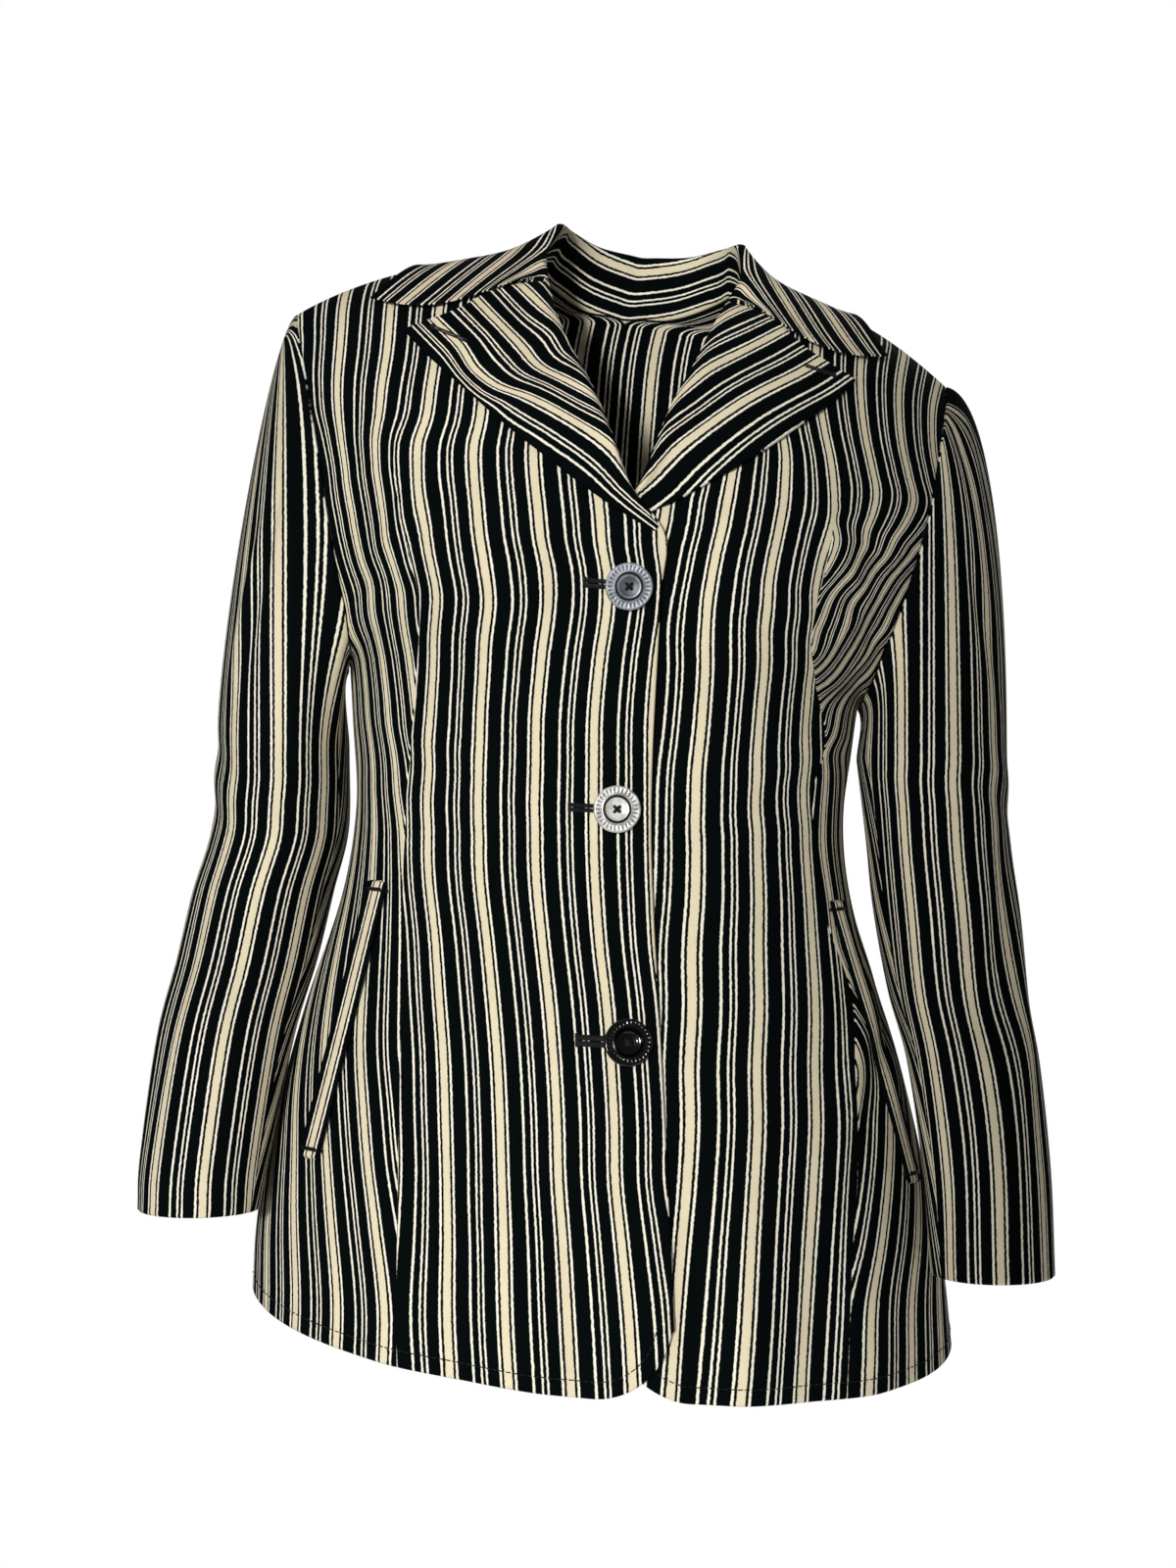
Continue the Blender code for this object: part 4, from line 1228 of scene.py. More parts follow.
def front_pieces(dart, centre_table, side_table, folds, under):
    """One front as if it were the left one: its outer face and the grain on both sides of its dart."""
    up = grid_up(*FRONT_UP)
    across = dart_across(dart, up)
    outer = front_grid(across, up)
    if under:
        outer = under_front(outer)
    seam = FRONT_ACROSS[0] - 1
    detail = fold_depth(outer[..., 0], outer[..., 2], folds)
    detail = detail * edge_calm(outer)
    below_tip = np.clip((dart[-1][0] - outer[:, seam, 2]) / DART_TIP_FADE, 0, 1)
    detail[:, seam] -= DART_DEPTH * below_tip
    outer = outer + normals(outer) * detail[..., None]
    plain = panel(FRONT_ROWS, across, up)
    s = run_across(plain) + plain[:, :1, 0] + OVERLAP
    centre = grain_of(plain, centre_table, s)
    side = grain_of(plain, side_table, s)
    more = by_height(side_table, plain[..., 2])[..., 1] - by_height(centre_table, plain[..., 2])[..., 1]
    onward = centre[..., 0] + more * (s - s[:, seam : seam + 1])
    high = np.clip((plain[:, seam : seam + 1, 2] - dart[-1][0]) / DART_TIP_BLEND + 0.5, 0, 1)
    side[..., 0] += (onward - side[..., 0]) * high
    return outer, centre, side


def surfaces():
    """The outer faces that several pieces share, worked out once."""
    if SURFACES:
        return SURFACES
    right = front_pieces(DART_RIGHT, GRAIN_RIGHT, GRAIN_RIGHT_SIDE, DETAIL_RIGHT, under=False)
    left = front_pieces(DART_LEFT, GRAIN_LEFT, GRAIN_LEFT_SIDE, DETAIL_LEFT, under=True)
    up = grid_up(*FRONT_UP)
    across = np.tile(eased(BACK_ACROSS), (len(up), 1))
    back = back_grid(SIDE_GAP + (1 - SIDE_GAP) * across, up)
    lay_up = grid_up(*LAY_UP)
    lay_front = front_grid(grid_across(LAY_ACROSS, sum(LAY_UP) - 1), lay_up)
    lay_back = back_grid(grid_across(LAY_ACROSS, sum(LAY_UP) - 1), lay_up)
    SURFACES.update(
        right=right,
        left=left,
        back=back,
        lay_front=lay_front,
        lay_under=under_front(lay_front),
        lay_back=lay_back,
    )
    return SURFACES


def seamed(grid, way):
    """A panel with its shoulder moved by half a seam."""
    grid = grid.copy()
    grid[-1, :, 1] += way * SEAM / 2
    return grid


def dress(ob, node, flat, area, held="stretched"):
    """Material and body of one cloth piece, and the model's part named node is hidden. The flat size is not
    used.
    """
    ob.data.materials.append(cloth_material())
    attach(ob, BODY)
    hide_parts(node)


def flip(cuts, columns):
    """Grain cuts of a mirrored grid: their order and columns turn round, and stripes keep their direction."""
    ends = [start for start, _ in cuts[1:]] + [columns - 1]
    back = np.array([-1.0, 1.0])
    turned = [(columns - 1 - end, grain[:, ::-1] * back) for end, (_, grain) in zip(ends, cuts)]
    return turned[::-1]


# ------------------------------------------------------------------ cloth pieces


def make_fronts():
    """Both fronts: the wearer's right one laps over, the left one lies under it."""
    made = surfaces()
    side, shoulder = slice(None, FRONT_UP[0]), (-1, slice(None))
    seams = ((shoulder, 1), ((side, -1), 1))
    cut = FRONT_ACROSS[0] - 1
    for name, key in (("front_right", "right"), ("front_left", "left")):
        outer, centre, beyond = made[key]
        outer = seamed(outer, -1)
        inner = inner_face(outer, CLOTH, seams)
        cuts = [(0, centre), (cut, beyond)]
        if key == "right":
            outer, inner, cuts = mirror(outer), mirror(inner), flip(cuts, outer.shape[1])
        ob = shell("cloth_" + name, stance(outer), stance(inner), cuts)
        dress(ob, name, *FRONT_SHEET)


def make_backs():
    """Both backs, joined by a centre seam, stripes parallel to that seam."""
    back = seamed(surfaces()["back"], 1)
    side, shoulder = slice(None, FRONT_UP[0]), (-1, slice(None))
    centre_rows = int(len(back) * CENTRE_SEAM_SHARE)
    seams = ((shoulder, 1), ((side, 0), 1), ((slice(None, centre_rows), -1), 0))
    inner = inner_face(back, CLOTH, seams)
    run = run_across(back)
    grain = np.stack([run[:, -1:] - run + BACK_SHIFT, run_up(back)], axis=-1)
    cuts = [(0, grain)]
    width = back.shape[1]
    dress(shell("cloth_back_left", stance(back), stance(inner), cuts), "back_left", *BACK_SHEET)
    ob = shell("cloth_back_right", stance(mirror(back)), stance(mirror(inner)), flip(cuts, width))
    dress(ob, "back_right", *BACK_SHEET)


def sleeve_cuts(grid, angle, table, side, shifts):
    """Grain of a sleeve: stripes run down the arm beside a reference line on its front and outer side.

    Below the armhole the first value is arc length round the ring. In the head it is the arc length that the
    first full ring has at the same angle round the arm's axis, so stripes run straight up into the armhole
    seam. An under part between two seams has a slanted grain of its own.
    """
    closed = np.concatenate([grid, grid[:, :1]], axis=1)
    turn = np.concatenate([angle, [2 * np.pi]])
    run = run_across(closed)
    down = run_up(closed)
    first = HEAD_RINGS - 1
    _, x, y, half_width, half_depth = table[0]
    head = closed[:first]
    theta = np.arctan2((y - head[..., 1]) / half_depth, side * (head[..., 0] - x) / half_width)
    theta = np.where((turn > np.pi)[None] & (theta < 0.5), theta + 2 * np.pi, theta)
    arc = run.copy()
    arc[:first] = np.interp(theta, turn, run[first])
    reference = int(np.argmax(turn > math.radians(SLEEVE_REFERENCE)))
    level = run[:, reference : reference + 1].copy()
    level[:first] = run[first, reference]
    total = run[:, -1:].copy()
    total[:first] = run[first, -1]
    height = down - down[first]
    height[:first] = closed[first, :, 2] - closed[:first, :, 2]
    front_seam = int(np.argmax(turn > math.radians(UNDER_SEAMS[0])))
    back_seam = int(np.argmax(turn > math.radians(UNDER_SEAMS[1])))
    upper, under, behind = shifts
    parts = (
        arc - level + upper,
        arc - arc[:, front_seam : front_seam + 1] + under + UNDER_TILT * height,
        arc - total - level + behind,
    )
    grains = [np.stack([-part, height], axis=-1) for part in parts]
    return [(0, grains[0]), (front_seam, grains[1]), (back_seam, grains[2])]


def sleeve_surface(side):
    """A sleeve's outer face in the worn frame, its angles and the distance round each ring."""
    made = surfaces()
    front = made["left" if side > 0 else "right"][0]
    armhole = slice(FRONT_UP[0] - 1, None)
    half = np.concatenate([front[armhole, -1][::-1], made["back"][armhole, 0][1:-1]])
    loop = stance(half * np.array([side, 1, 1]))
    table, folds = (SLEEVE_RIGHT_ROWS, SLEEVE_RIGHT_FOLDS)
    if side > 0:
        table, folds = (SLEEVE_LEFT_ROWS, SLEEVE_LEFT_FOLDS)
    grid, angle = sleeve_grid(loop, table, side, HEAD_RINGS, SLEEVE_RINGS)
    run = run_across(np.concatenate([grid, grid[:, :1]], axis=1))
    s = run[:, :-1]
    s = np.where(s > run[:, -1:] / 2, s - run[:, -1:], s)
    way = normals(grid, wrap=True) * side
    depth = fold_depth(s, grid[..., 2], folds) * soft_step(np.clip(run_up(grid) / HEAD_CALM, 0, 1))
    return grid + way * depth[..., None], angle


def make_sleeves():
    """Both set-in sleeves, from the armholes that the panels leave down to the open cuffs."""
    for name, side, table, shifts in (
        ("sleeve_left", 1, SLEEVE_LEFT_ROWS, SLEEVE_LEFT_SHIFTS),
        ("sleeve_right", -1, SLEEVE_RIGHT_ROWS, SLEEVE_RIGHT_SHIFTS),
    ):
        grid, angle = sleeve_surface(side)
        cuts = sleeve_cuts(grid, angle, table, side, shifts)
        if side < 0:
            grid = np.roll(grid[:, ::-1], 1, axis=1)
            cuts = flip(cuts, grid.shape[1] + 1)
        inner = inner_face(grid, CLOTH, wrap=True)
        dress(shell("cloth_" + name, grid, inner, cuts, wrap=True), name, *SLEEVE_SHEET)


def lapel_surface(side):
    """A lapel's outer face: it lies on its front and swells softly beside the roll line."""
    made = surfaces()
    surface, first, folds = made["lay_front"], OVER_LAPEL_START, LAPEL_RIGHT_FOLDS
    if side > 0:
        surface, first, folds = made["lay_under"], UNDER_LAPEL_START, LAPEL_LEFT_FOLDS
    grid = refine(lapel_grid(surface, *LAPEL_COARSE, first), *LAPEL_FINE)
    c = np.linspace(0, 1, LAPEL_FINE[1])
    height = np.sin(np.linspace(LAPEL_SWELL_START, 1, LAPEL_FINE[0]) * np.pi) ** 0.5
    roll = LAPEL_SWELL * np.exp(-(((c - LAPEL_SWELL_AT) / LAPEL_SWELL_WIDTH) ** 2))
    roll = roll - LAPEL_TUCK * np.exp(-((c / LAPEL_TUCK_WIDTH) ** 2))
    detail = fold_depth(grid[..., 0], grid[..., 2], folds)
    sink = LAPEL_SINK * (1 - lapel_rise(len(grid)))
    return grid + normals(grid) * (height[:, None] * roll + detail - sink[:, None])[..., None]


def lapel_rise(rows):
    """A share that grows from 0 to 1 over a lapel's lower end, where it merges into the front edge."""
    return soft_step(np.clip(np.linspace(0, 1, rows) / LAPEL_RISE_SHARE, 0, 1))


def make_lapels():
    """Both lapels, with stripes beside the outer edge, as a turned facing shows them."""
    for name, side, table in (("lapel_left", 1, LAPEL_LEFT_GRAIN), ("lapel_right", -1, LAPEL_RIGHT_GRAIN)):
        outer = lapel_surface(side)
        share = LAPEL_END_THIN + (1 - LAPEL_END_THIN) * lapel_rise(len(outer))
        inner = inner_face(outer, DOUBLE * share[:, None, None])
        run = run_across(outer)
        held = by_height(table, np.linspace(0, 1, len(outer)))
        inward = run[:, -1:] - run - held[:, :1]
        inward = inward * np.where(inward < 0, held[:, 1:2], held[:, 2:])
        cuts = [(0, np.stack([-inward, run_up(outer)], axis=-1))]
        if side < 0:
            outer, inner = mirror(outer), mirror(inner)
            cuts = flip(cuts, outer.shape[1])
        dress(shell("cloth_" + name, stance(outer), stance(inner), cuts), name, *LAPEL_SHEET)


def relaxed(grid, weight, passes, edge_passes):
    """A grid whose points move towards the middle of their neighbours by a weight.

    Its edges move along themselves only.
    """
    grid = grid.copy()
    for k in range(passes):
        middle = grid.copy()
        middle[1:-1, 1:-1] = (grid[:-2, 1:-1] + grid[2:, 1:-1] + grid[1:-1, :-2] + grid[1:-1, 2:]) / 4
        if k < edge_passes:
            middle[[0, -1], 1:-1] = (grid[[0, -1], :-2] + grid[[0, -1], 2:]) / 2
            middle[1:-1, [0, -1]] = (grid[:-2, [0, -1]] + grid[2:, [0, -1]]) / 2
        grid += (middle - grid) * weight
    return grid


def make_collar():
    """The collar in one piece round the neck, from the left point to the right one."""
    made = surfaces()
    half = collar_half(made["lay_front"], made["lay_back"])[::-1]
    collar = refine(np.concatenate([half, (half[::-1] * MIRRORED)[1:]]), *COLLAR_FINE)
    rows = np.arange(len(collar))
    from_end = np.minimum(rows, rows[::-1])[:, None]
    inside = soft_step(np.clip(from_end / COLLAR_END_ROWS, 0, 1))[..., None]
    collar = relaxed(collar, COLLAR_RELAX * (1 - inside), *COLLAR_PASSES)
    across, fade = COLLAR_TUCK_SHARE
    on_stand = np.clip((across - np.linspace(0, 1, COLLAR_FINE[1])) / fade, 0, 1)
    share = soft_step(np.clip(1 - from_end / COLLAR_TUCK_ROWS, 0, 1)) * on_stand
    tuck = np.array(COLLAR_TUCK) * share[..., None]
    tuck[..., 0] *= np.sign(collar[..., 0])
    collar += tuck
    inner = inner_face(collar, DOUBLE * (COLLAR_END_THIN + (1 - COLLAR_END_THIN) * inside))
    run = run_across(collar)
    from_edge = run[:, -1:] - run
    grain = np.stack([from_edge - COLLAR_SHIFT, run_up(collar)], axis=-1)
    dress(shell("cloth_collar", stance(collar), stance(inner), [(0, grain)]), "collar", *COLLAR_SHEET)


def make_welts():
    """The slanted welt over each pocket mouth, a folded strip with stripes along it."""
    made = surfaces()
    for name, side in (("pocket_welt_left", 1), ("pocket_welt_right", -1)):
        surface = made["left" if side > 0 else "right"][0]
        line = along(WELT_LINE, WELT_FINE[0])[::-1]
        shares = np.linspace(-1, 1, WELT_FINE[1])
        strip = line[:, None] + np.stack([shares * WELT_HALF_WIDTH, 0 * shares], axis=-1)
        points, out = nearest_on(surface, strip)
        crown = WELT_CROWN * (1 - shares**2)
        outer = points + out * (DOUBLE + WELT_GAP + crown)[None, :, None]
        inner = points + out * WELT_GAP
        grain = np.stack([run_across(outer) + WELT_SHIFT, run_up(outer)], axis=-1)
        cuts = [(0, grain)]
        if side < 0:
            outer, inner, cuts = mirror(outer), mirror(inner), flip(cuts, outer.shape[1])
        ob = shell("cloth_" + name, stance(outer), stance(inner), cuts)
        dress(ob, name, *WELT_SHEET, "folded")


# ------------------------------------------------------------------ buttons

BUTTON_PROFILE = (  # radius and height of the face, from the middle to the rim and round to the back
    (0.0, 1.55),
    (2.6, 1.6),
    (4.6, 1.85),
    (5.7, 2.3),
    (6.15, 2.4),
    (6.4, 2.1),
    (6.6, 1.25),
    (7.05, 1.05),
    (7.4, 1.3),
    (7.6, 2.3),
    (7.85, 2.85),
    (8.1, 2.8),
    (8.35, 2.35),
    (9.5, 2.35),
    (11.2, 2.4),
    (11.9, 2.35),
    (12.3, 2.05),
    (12.5, 1.5),
    (12.4, 0.8),
    (11.9, 0.25),
    (11.0, 0.0),
    (6.0, 0.0),
    (0.0, 0.0),
)
BUTTON_SEGMENTS = 180
BUTTON_RINGS = 46  # at least so many along the profile
BUTTON_SHARP = 48  # degrees
FACE_LEAST = 1.0  # a point on the face is higher than this above the button's back
HOLE_RADIUS = 1.3
HOLE_SPREAD = 2.7  # from the button's centre to a hole's
DRILL_REACH = (-3, 6)  # from below the back to above the face
# painted shade in the dished middle: its radius, and the width over which it fades in
MIDDLE_RADIUS = 5.8
MIDDLE_FADE = 0.5
TICKS = 30  # plain marks round the rim
TICK_BAND = (8.9, 11.3)  # radii between which they lie
TICK_FADE = 0.4
TICK_DEPTH = 0.3
TICK_SHADE = 0.9  # how much painted shade darkens them
THREAD_END = 0.7  # a thread's pointed end, as a share of its radius
STRAND_RADIUS = 0.29
STRAND_LANES = (-0.66, -0.22, 0.22, 0.66)  # strands beside each other in each arm of the cross
STRAND_ARMS = ((45, 0.0), (135, 0.3))  # degrees, and how much higher an arm lies
STRAND_ARCH = (1.45, 0.8, 1.0, 0.45)  # height at the holes, rise between, dip into them, narrowing there
STRAND_PAST = 0.2  # how far a strand reaches past its hole's middle
SHANK_TURNS, SHANK_POINTS, SHANK_RADIUS, SHANK_THREAD = 5, 70, 1.5, 0.3
SHANK_SPAN = (0.15 - SHANK, -0.05)  # from just above the cloth to just below the button
RECESS_SHADE = (  # radius, and the share of painted shade there, which darkens the colour towards the shade colour: in the groove and at the rim's edges
    (0.0, 0.0),
    (5.0, 0.0),
    (5.9, 0.1),
    (6.2, 0.4),
    (6.45, 1.0),
    (7.4, 1.0),
    (7.6, 0.15),
    (8.0, 0.0),
    (8.2, 0.8),
    (8.55, 0.1),
    (11.6, 0.0),
    (11.9, 0.6),
    (12.2, 0.25),
    (12.5, 0.6),
)
# material, the record's slot, colour, colour of the painted shade in recesses, metallic, roughness, strength
# of the painted shade in the dished middle
BUTTON_LOOKS = (
    ("pewter_button", "button_pewter", (0.46, 0.50, 0.56), (0.02, 0.021, 0.024), 0.35, 0.42, 0.8),
    ("silver_button", "button_silver", (0.93, 0.92, 0.90), (0.012, 0.012, 0.012), 0.3, 0.3, 0.1),
    ("black_button", "button_black", (0.003, 0.003, 0.0035), (0.001, 0.001, 0.001), 0.0, 0.13, 0.9),
)


def button_place(height, shift):
    """Where a button's back lies on the front that laps over, and its outward way, in the worn frame."""
    points, out = nearest_on(mirror(surfaces()["right"][0]), np.array([[shift, height]], float))
    here, ahead = stance(points)[0], stance(points + out)[0]
    way = unit(ahead - here)
    return here + way * SHANK, way


def button_frame(way):
    """Two unit vectors in a button's plane, the first as level as it can be."""
    side = unit(np.cross([0, 0, 1.0], way))
    return side, np.cross(side, way)


def make_buttons():
    """Three four-hole buttons in three finishes.

    Each has a dished middle, a groove, a raised ring and a ticked rim.
    """
    profile = np.array(BUTTON_PROFILE)
    length = run_along(profile)
    at = np.unique(np.concatenate([length, np.linspace(0, length[-1], BUTTON_RINGS)]))
    fine = np.stack([np.interp(at, length, values) for values in profile.T], axis=-1)[1:-1]
    s = np.arange(BUTTON_SEGMENTS)
    a = 2 * np.pi * s / BUTTON_SEGMENTS
    radius = fine[:, :1] + 0 * a
    low, high = TICK_BAND
    band = np.clip((radius - low) / TICK_FADE, 0, 1) * np.clip((high - radius) / TICK_FADE, 0, 1)
    marks = np.clip(np.cos(TICKS * a), 0, 1) ** 2
    height = fine[:, 1:] - TICK_DEPTH * band * (fine[:, 1:] > FACE_LEAST) * marks
    wall = ring_walls(len(fine), BUTTON_SEGMENTS)[:, [0, 3, 2, 1]]
    n, middle = (s + 1) % BUTTON_SEGMENTS, len(fine) * BUTTON_SEGMENTS
    last = middle - BUTTON_SEGMENTS
    caps = [np.stack([0 * s + middle, s, n], 1), np.stack([last + n, last + s, 0 * s + middle + 1], 1)]
    faces = wall.tolist() + np.concatenate(caps).tolist()
    disc = np.stack([radius * np.cos(a), radius * np.sin(a), height], axis=-1).reshape(-1, 3)
    local = np.concatenate([disc, [[0, 0, BUTTON_PROFILE[0][1]], [0, 0, 0.0]]])
    for (name, height_on, shift), looks in zip(BUTTONS, BUTTON_LOOKS):
        material, slot_name, colour, painted_dark, metallic, roughness, middle_shade = looks
        here, way = button_place(height_on, shift)
        axes = np.stack([*button_frame(way), way])
        ob = solid(name + "_face", (here + local @ axes) * MM, faces)
        drill(ob, here, axes)
        ob.data.set_sharp_from_angle(angle=math.radians(BUTTON_SHARP))
        # painted shade in the button's recesses, stored on its points
        paint_recess_shade(ob, here, axes, middle_shade)
        ob.data.materials.append(button_material(material, colour, painted_dark, metallic, roughness))
        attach(ob, BODY)
        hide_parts(name)
        sew_button(name, here, axes)


def paint_recess_shade(ob, here, axes, middle):
    """Give each point of a button its painted shade as an attribute: by its distance from the middle, and in
    the marks round the rim.
    """
    points = np.empty(3 * len(ob.data.vertices), dtype=np.float32)
    ob.data.vertices.foreach_get("co", points)
    local = (points.reshape(-1, 3) / MM - here) @ axes.T
    far, painted_dark = zip(*RECESS_SHADE)
    radius = np.hypot(local[:, 0], local[:, 1])
    low, high = TICK_BAND
    tick = np.clip(np.cos(TICKS * np.arctan2(local[:, 1], local[:, 0])), 0, 1)
    tick = tick * (radius > low) * (radius < high) * (local[:, 2] > FACE_LEAST)
    # painted shade in the dished middle
    inside = middle * np.clip((MIDDLE_RADIUS - radius) / MIDDLE_FADE, 0, 1)
    # each point takes the strongest painted shade: of the groove and edges, of the marks, or of the middle
    depth = np.maximum(np.maximum(np.interp(radius, far, painted_dark), TICK_SHADE * tick), inside)
    ob.data.attributes.new("painted_shade", "FLOAT", "POINT").data.foreach_set("value", depth.astype(np.float32))


def drill(ob, here, axes, sides=20):
    """Cut the four thread holes: straight prisms through the button, and the result becomes its mesh."""
    a = 2 * np.pi * np.arange(sides) / sides
    points, faces = [], []
    s = np.arange(sides)
    n = (s + 1) % sides
    for k in range(4):
        turn = math.radians(45 + 90 * k)
        x = HOLE_SPREAD * math.cos(turn) + HOLE_RADIUS * np.cos(a)
        y = HOLE_SPREAD * math.sin(turn) + HOLE_RADIUS * np.sin(a)
        base = len(points) * 2 * sides
        points.append(np.concatenate([np.stack([x, y, 0 * x + z], -1) for z in DRILL_REACH]))
        faces += (np.stack([s, n, n + sides, s + sides], 1) + base).tolist()
        faces += [(s[::-1] + base).tolist(), (s + sides + base).tolist()]
    cutter = solid(ob.name + "_drill", [], [])
    cutter.data.from_pydata(((here + np.concatenate(points) @ axes) * MM).tolist(), [], faces)
    cut = ob.modifiers.new("holes", "BOOLEAN")
    cut.operation = "DIFFERENCE"
    cut.object = cutter
    bpy.context.view_layer.update()
    drilled = bpy.data.meshes.new_from_object(ob.evaluated_get(bpy.context.evaluated_depsgraph_get()))
    ob.modifiers.clear()
    ob.data = drilled
    bpy.data.objects.remove(cutter)


def sew_button(name, here, axes):
    """Black thread through a button's holes, four strands in each arm of a cross.

    A wound shank behind it holds the button off the cloth.
    """
    t = np.linspace(0, 1, 13)
    from_middle = 2 * t - 1
    height, rise, dip, narrowing = STRAND_ARCH
    paths = []
    for turn, over in STRAND_ARMS:
        c, s = math.cos(math.radians(turn)), math.sin(math.radians(turn))
        for lane in STRAND_LANES:
            far = from_middle * (HOLE_SPREAD + STRAND_PAST)
            aside = lane * (1 - narrowing * from_middle**2)
            z = height + (rise + over) * np.sin(np.pi * t) ** 0.5 - dip * from_middle**8
            paths.append(np.stack([far * c - aside * s, far * s + aside * c, z], axis=-1))
    thread_piece(name + "_thread", here + np.array(paths) @ axes, STRAND_RADIUS)
    a = np.linspace(0, 2 * np.pi * SHANK_TURNS, SHANK_POINTS)
    low, high = SHANK_SPAN
    climb = low + (high - low) * a / a[-1]
    wound = np.stack([SHANK_RADIUS * np.cos(a), SHANK_RADIUS * np.sin(a), climb], axis=-1)
    thread_piece(name + "_shank", (here + wound @ axes)[None], SHANK_THREAD)


def thread_piece(name, paths, radius, sides=8):
    """Threads as one piece with its material and body; paths in millimetres of the worn frame."""
    points, faces = tubes(paths, radius, sides)
    ob = solid(name, points * MM, faces)
    ob.data.materials.append(thread_material())
    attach(ob, BODY)


# ------------------------------------------------------------------ sewing


def settle(surface, points):
    """Points dropped on a surface's nearest tangent plane, with the outward ways there."""
    flat, out = surface.reshape(-1, 3), normals(surface).reshape(-1, 3)
    at = points.reshape(-1, 3)
    gap = (flat**2).sum(1)[None] - 2 * at @ flat.T
    i = np.argmin(gap, axis=1)
    way = out[i]
    off = ((at - flat[i]) * way).sum(1, keepdims=True)
    return (at - way * off).reshape(points.shape), way.reshape(points.shape)


STITCH_POINTS, STITCH_SIDES = 6, 6  # along a stitch of the hem or a buttonhole, and round any stitch
STITCH_RISE, STITCH_SINK = 1.2, 0.5  # in radii: rise of its middle, and how deep it lies in the cloth
HEM_ENDS = slice(3, -1)  # points of the hem's line that carry stitches
HEM_NEAR = 24  # rows above the hem on which its stitches can lie
LIP_START, LIP_STEP = 0.3, 0.33  # first stitch of a buttonhole's lips, and distance to the next
LIP_GAP = 0.25  # half the slit
LIP_LIFT = (0.34, 1.05, 0.1)  # rise of a stitch, how soon it falls again, how deep it starts
BAR_STITCHES, BAR_STEP, BAR_START = 4, 0.42, -0.7  # across a buttonhole's far end
BAR_REACH, BAR_LIFT = 0.5, 0.3  # past the lips, and above them
HOLE_THREAD = 0.27
HOLE_PAST = 1.0  # how far a buttonhole reaches past its button's middle
TACK_STRANDS, TACK_POINTS = 5, 7  # strands at each end of a welt, and points along one
TACK_SPREAD, TACK_REACH = 0.8, 0.8  # half their width together, and their reach past the welt
TACK_LIFT, TACK_DIP, TACK_THREAD = 0.2, 3.0, 0.26


def dashes(line, out, length, gap, radius):
    """Running stitches along a line: each rises in the middle and dips into the cloth at both ends."""
    run = run_along(line)
    starts = np.arange(gap, run[-1] - length, length + gap)
    t = np.linspace(0, 1, STITCH_POINTS)
    at = starts[:, None] + t * length
    lift = radius * (STITCH_RISE * np.sin(np.pi * t) - STITCH_SINK)
    return smooth(run, line, at) + smooth(run, out, at) * lift[:, None]


def hem_line(outer, above):
    """The line at a given distance inside the hem edge, at right angles to it on the cloth."""
    edge = outer[0]
    way = np.cross(normals(outer[:4])[0], unit(np.gradient(edge, axis=0)))
    return settle(outer[:HEM_NEAR], (edge + way * above)[HEM_ENDS])


def make_hem():
    """Black topstitching above the curved hem, all the way round."""
    made = surfaces()
    sewing = bpy.context.scene.blazer_sewing
    length, gap, radius, above = (v / MM for v in (sewing.stitch, sewing.gap, sewing.radius, sewing.above))
    for name, outer in (
        ("front_right", mirror(made["right"][0])),
        ("front_left", made["left"][0]),
        ("back_right", mirror(made["back"])),
        ("back_left", made["back"]),
    ):
        worn = stance(outer)
        line, out = hem_line(worn, above)
        thread_piece("hem_stitch_" + name, dashes(line, out, length, gap, radius), radius, STITCH_SIDES)


def worked_hole(name, surface, start, end, tall, mirrored=False):
    """A worked buttonhole: two lips of stitches square to the slit, a bar of stitches across its far end.

    It runs from start to end, given as x and z in front view of a left surface, and may then be mirrored.
    """
    start, end = np.array(start, float), np.array(end, float)
    length = np.linalg.norm(end - start)
    ahead = (end - start) / length
    square = np.array([-ahead[1], ahead[0]])
    t = np.linspace(0, 1, STITCH_POINTS)

    def stitches(places, reach):
        return (start + ahead * places[:, None])[:, None] + square * reach[None, :, None]

    lip_places = np.arange(LIP_START, length, LIP_STEP)
    reach = LIP_GAP + t * (tall / 2 - LIP_GAP)
    bar_places = np.arange(BAR_STITCHES) * BAR_STEP + BAR_START
    bars = stitches(bar_places, (2 * t - 1) * (tall / 2 + BAR_REACH))
    rows = np.concatenate([stitches(lip_places, -reach), stitches(lip_places, reach), bars])
    height, fall, sink = LIP_LIFT
    rise = height * np.sin(np.pi * np.clip(t * fall, 0, 1)) ** 0.5 - sink
    lift = np.tile(rise, (len(rows), 1))
    lift[-BAR_STITCHES:] += BAR_LIFT
    points, out = nearest_on(surface, rows)
    points = points + out * lift[..., None]
    thread_piece(name, stance(points * MIRRORED if mirrored else points), HOLE_THREAD, STITCH_SIDES)


def make_buttonholes():
    """Three worked buttonholes in the front that laps over and one on each lapel."""
    made = surfaces()
    for (name, height, shift), (far, rise, tall) in zip(BUTTONS, BUTTONHOLES):
        ends = (far, height + rise), (HOLE_PAST - shift, height)
        worked_hole(name + "_hole", made["right"][0], *ends, tall, mirrored=True)
    worked_hole("lapel_hole_right", lapel_surface(-1), *LAPEL_HOLES[0], mirrored=True)
    worked_hole("lapel_hole_left", lapel_surface(1), *LAPEL_HOLES[1])


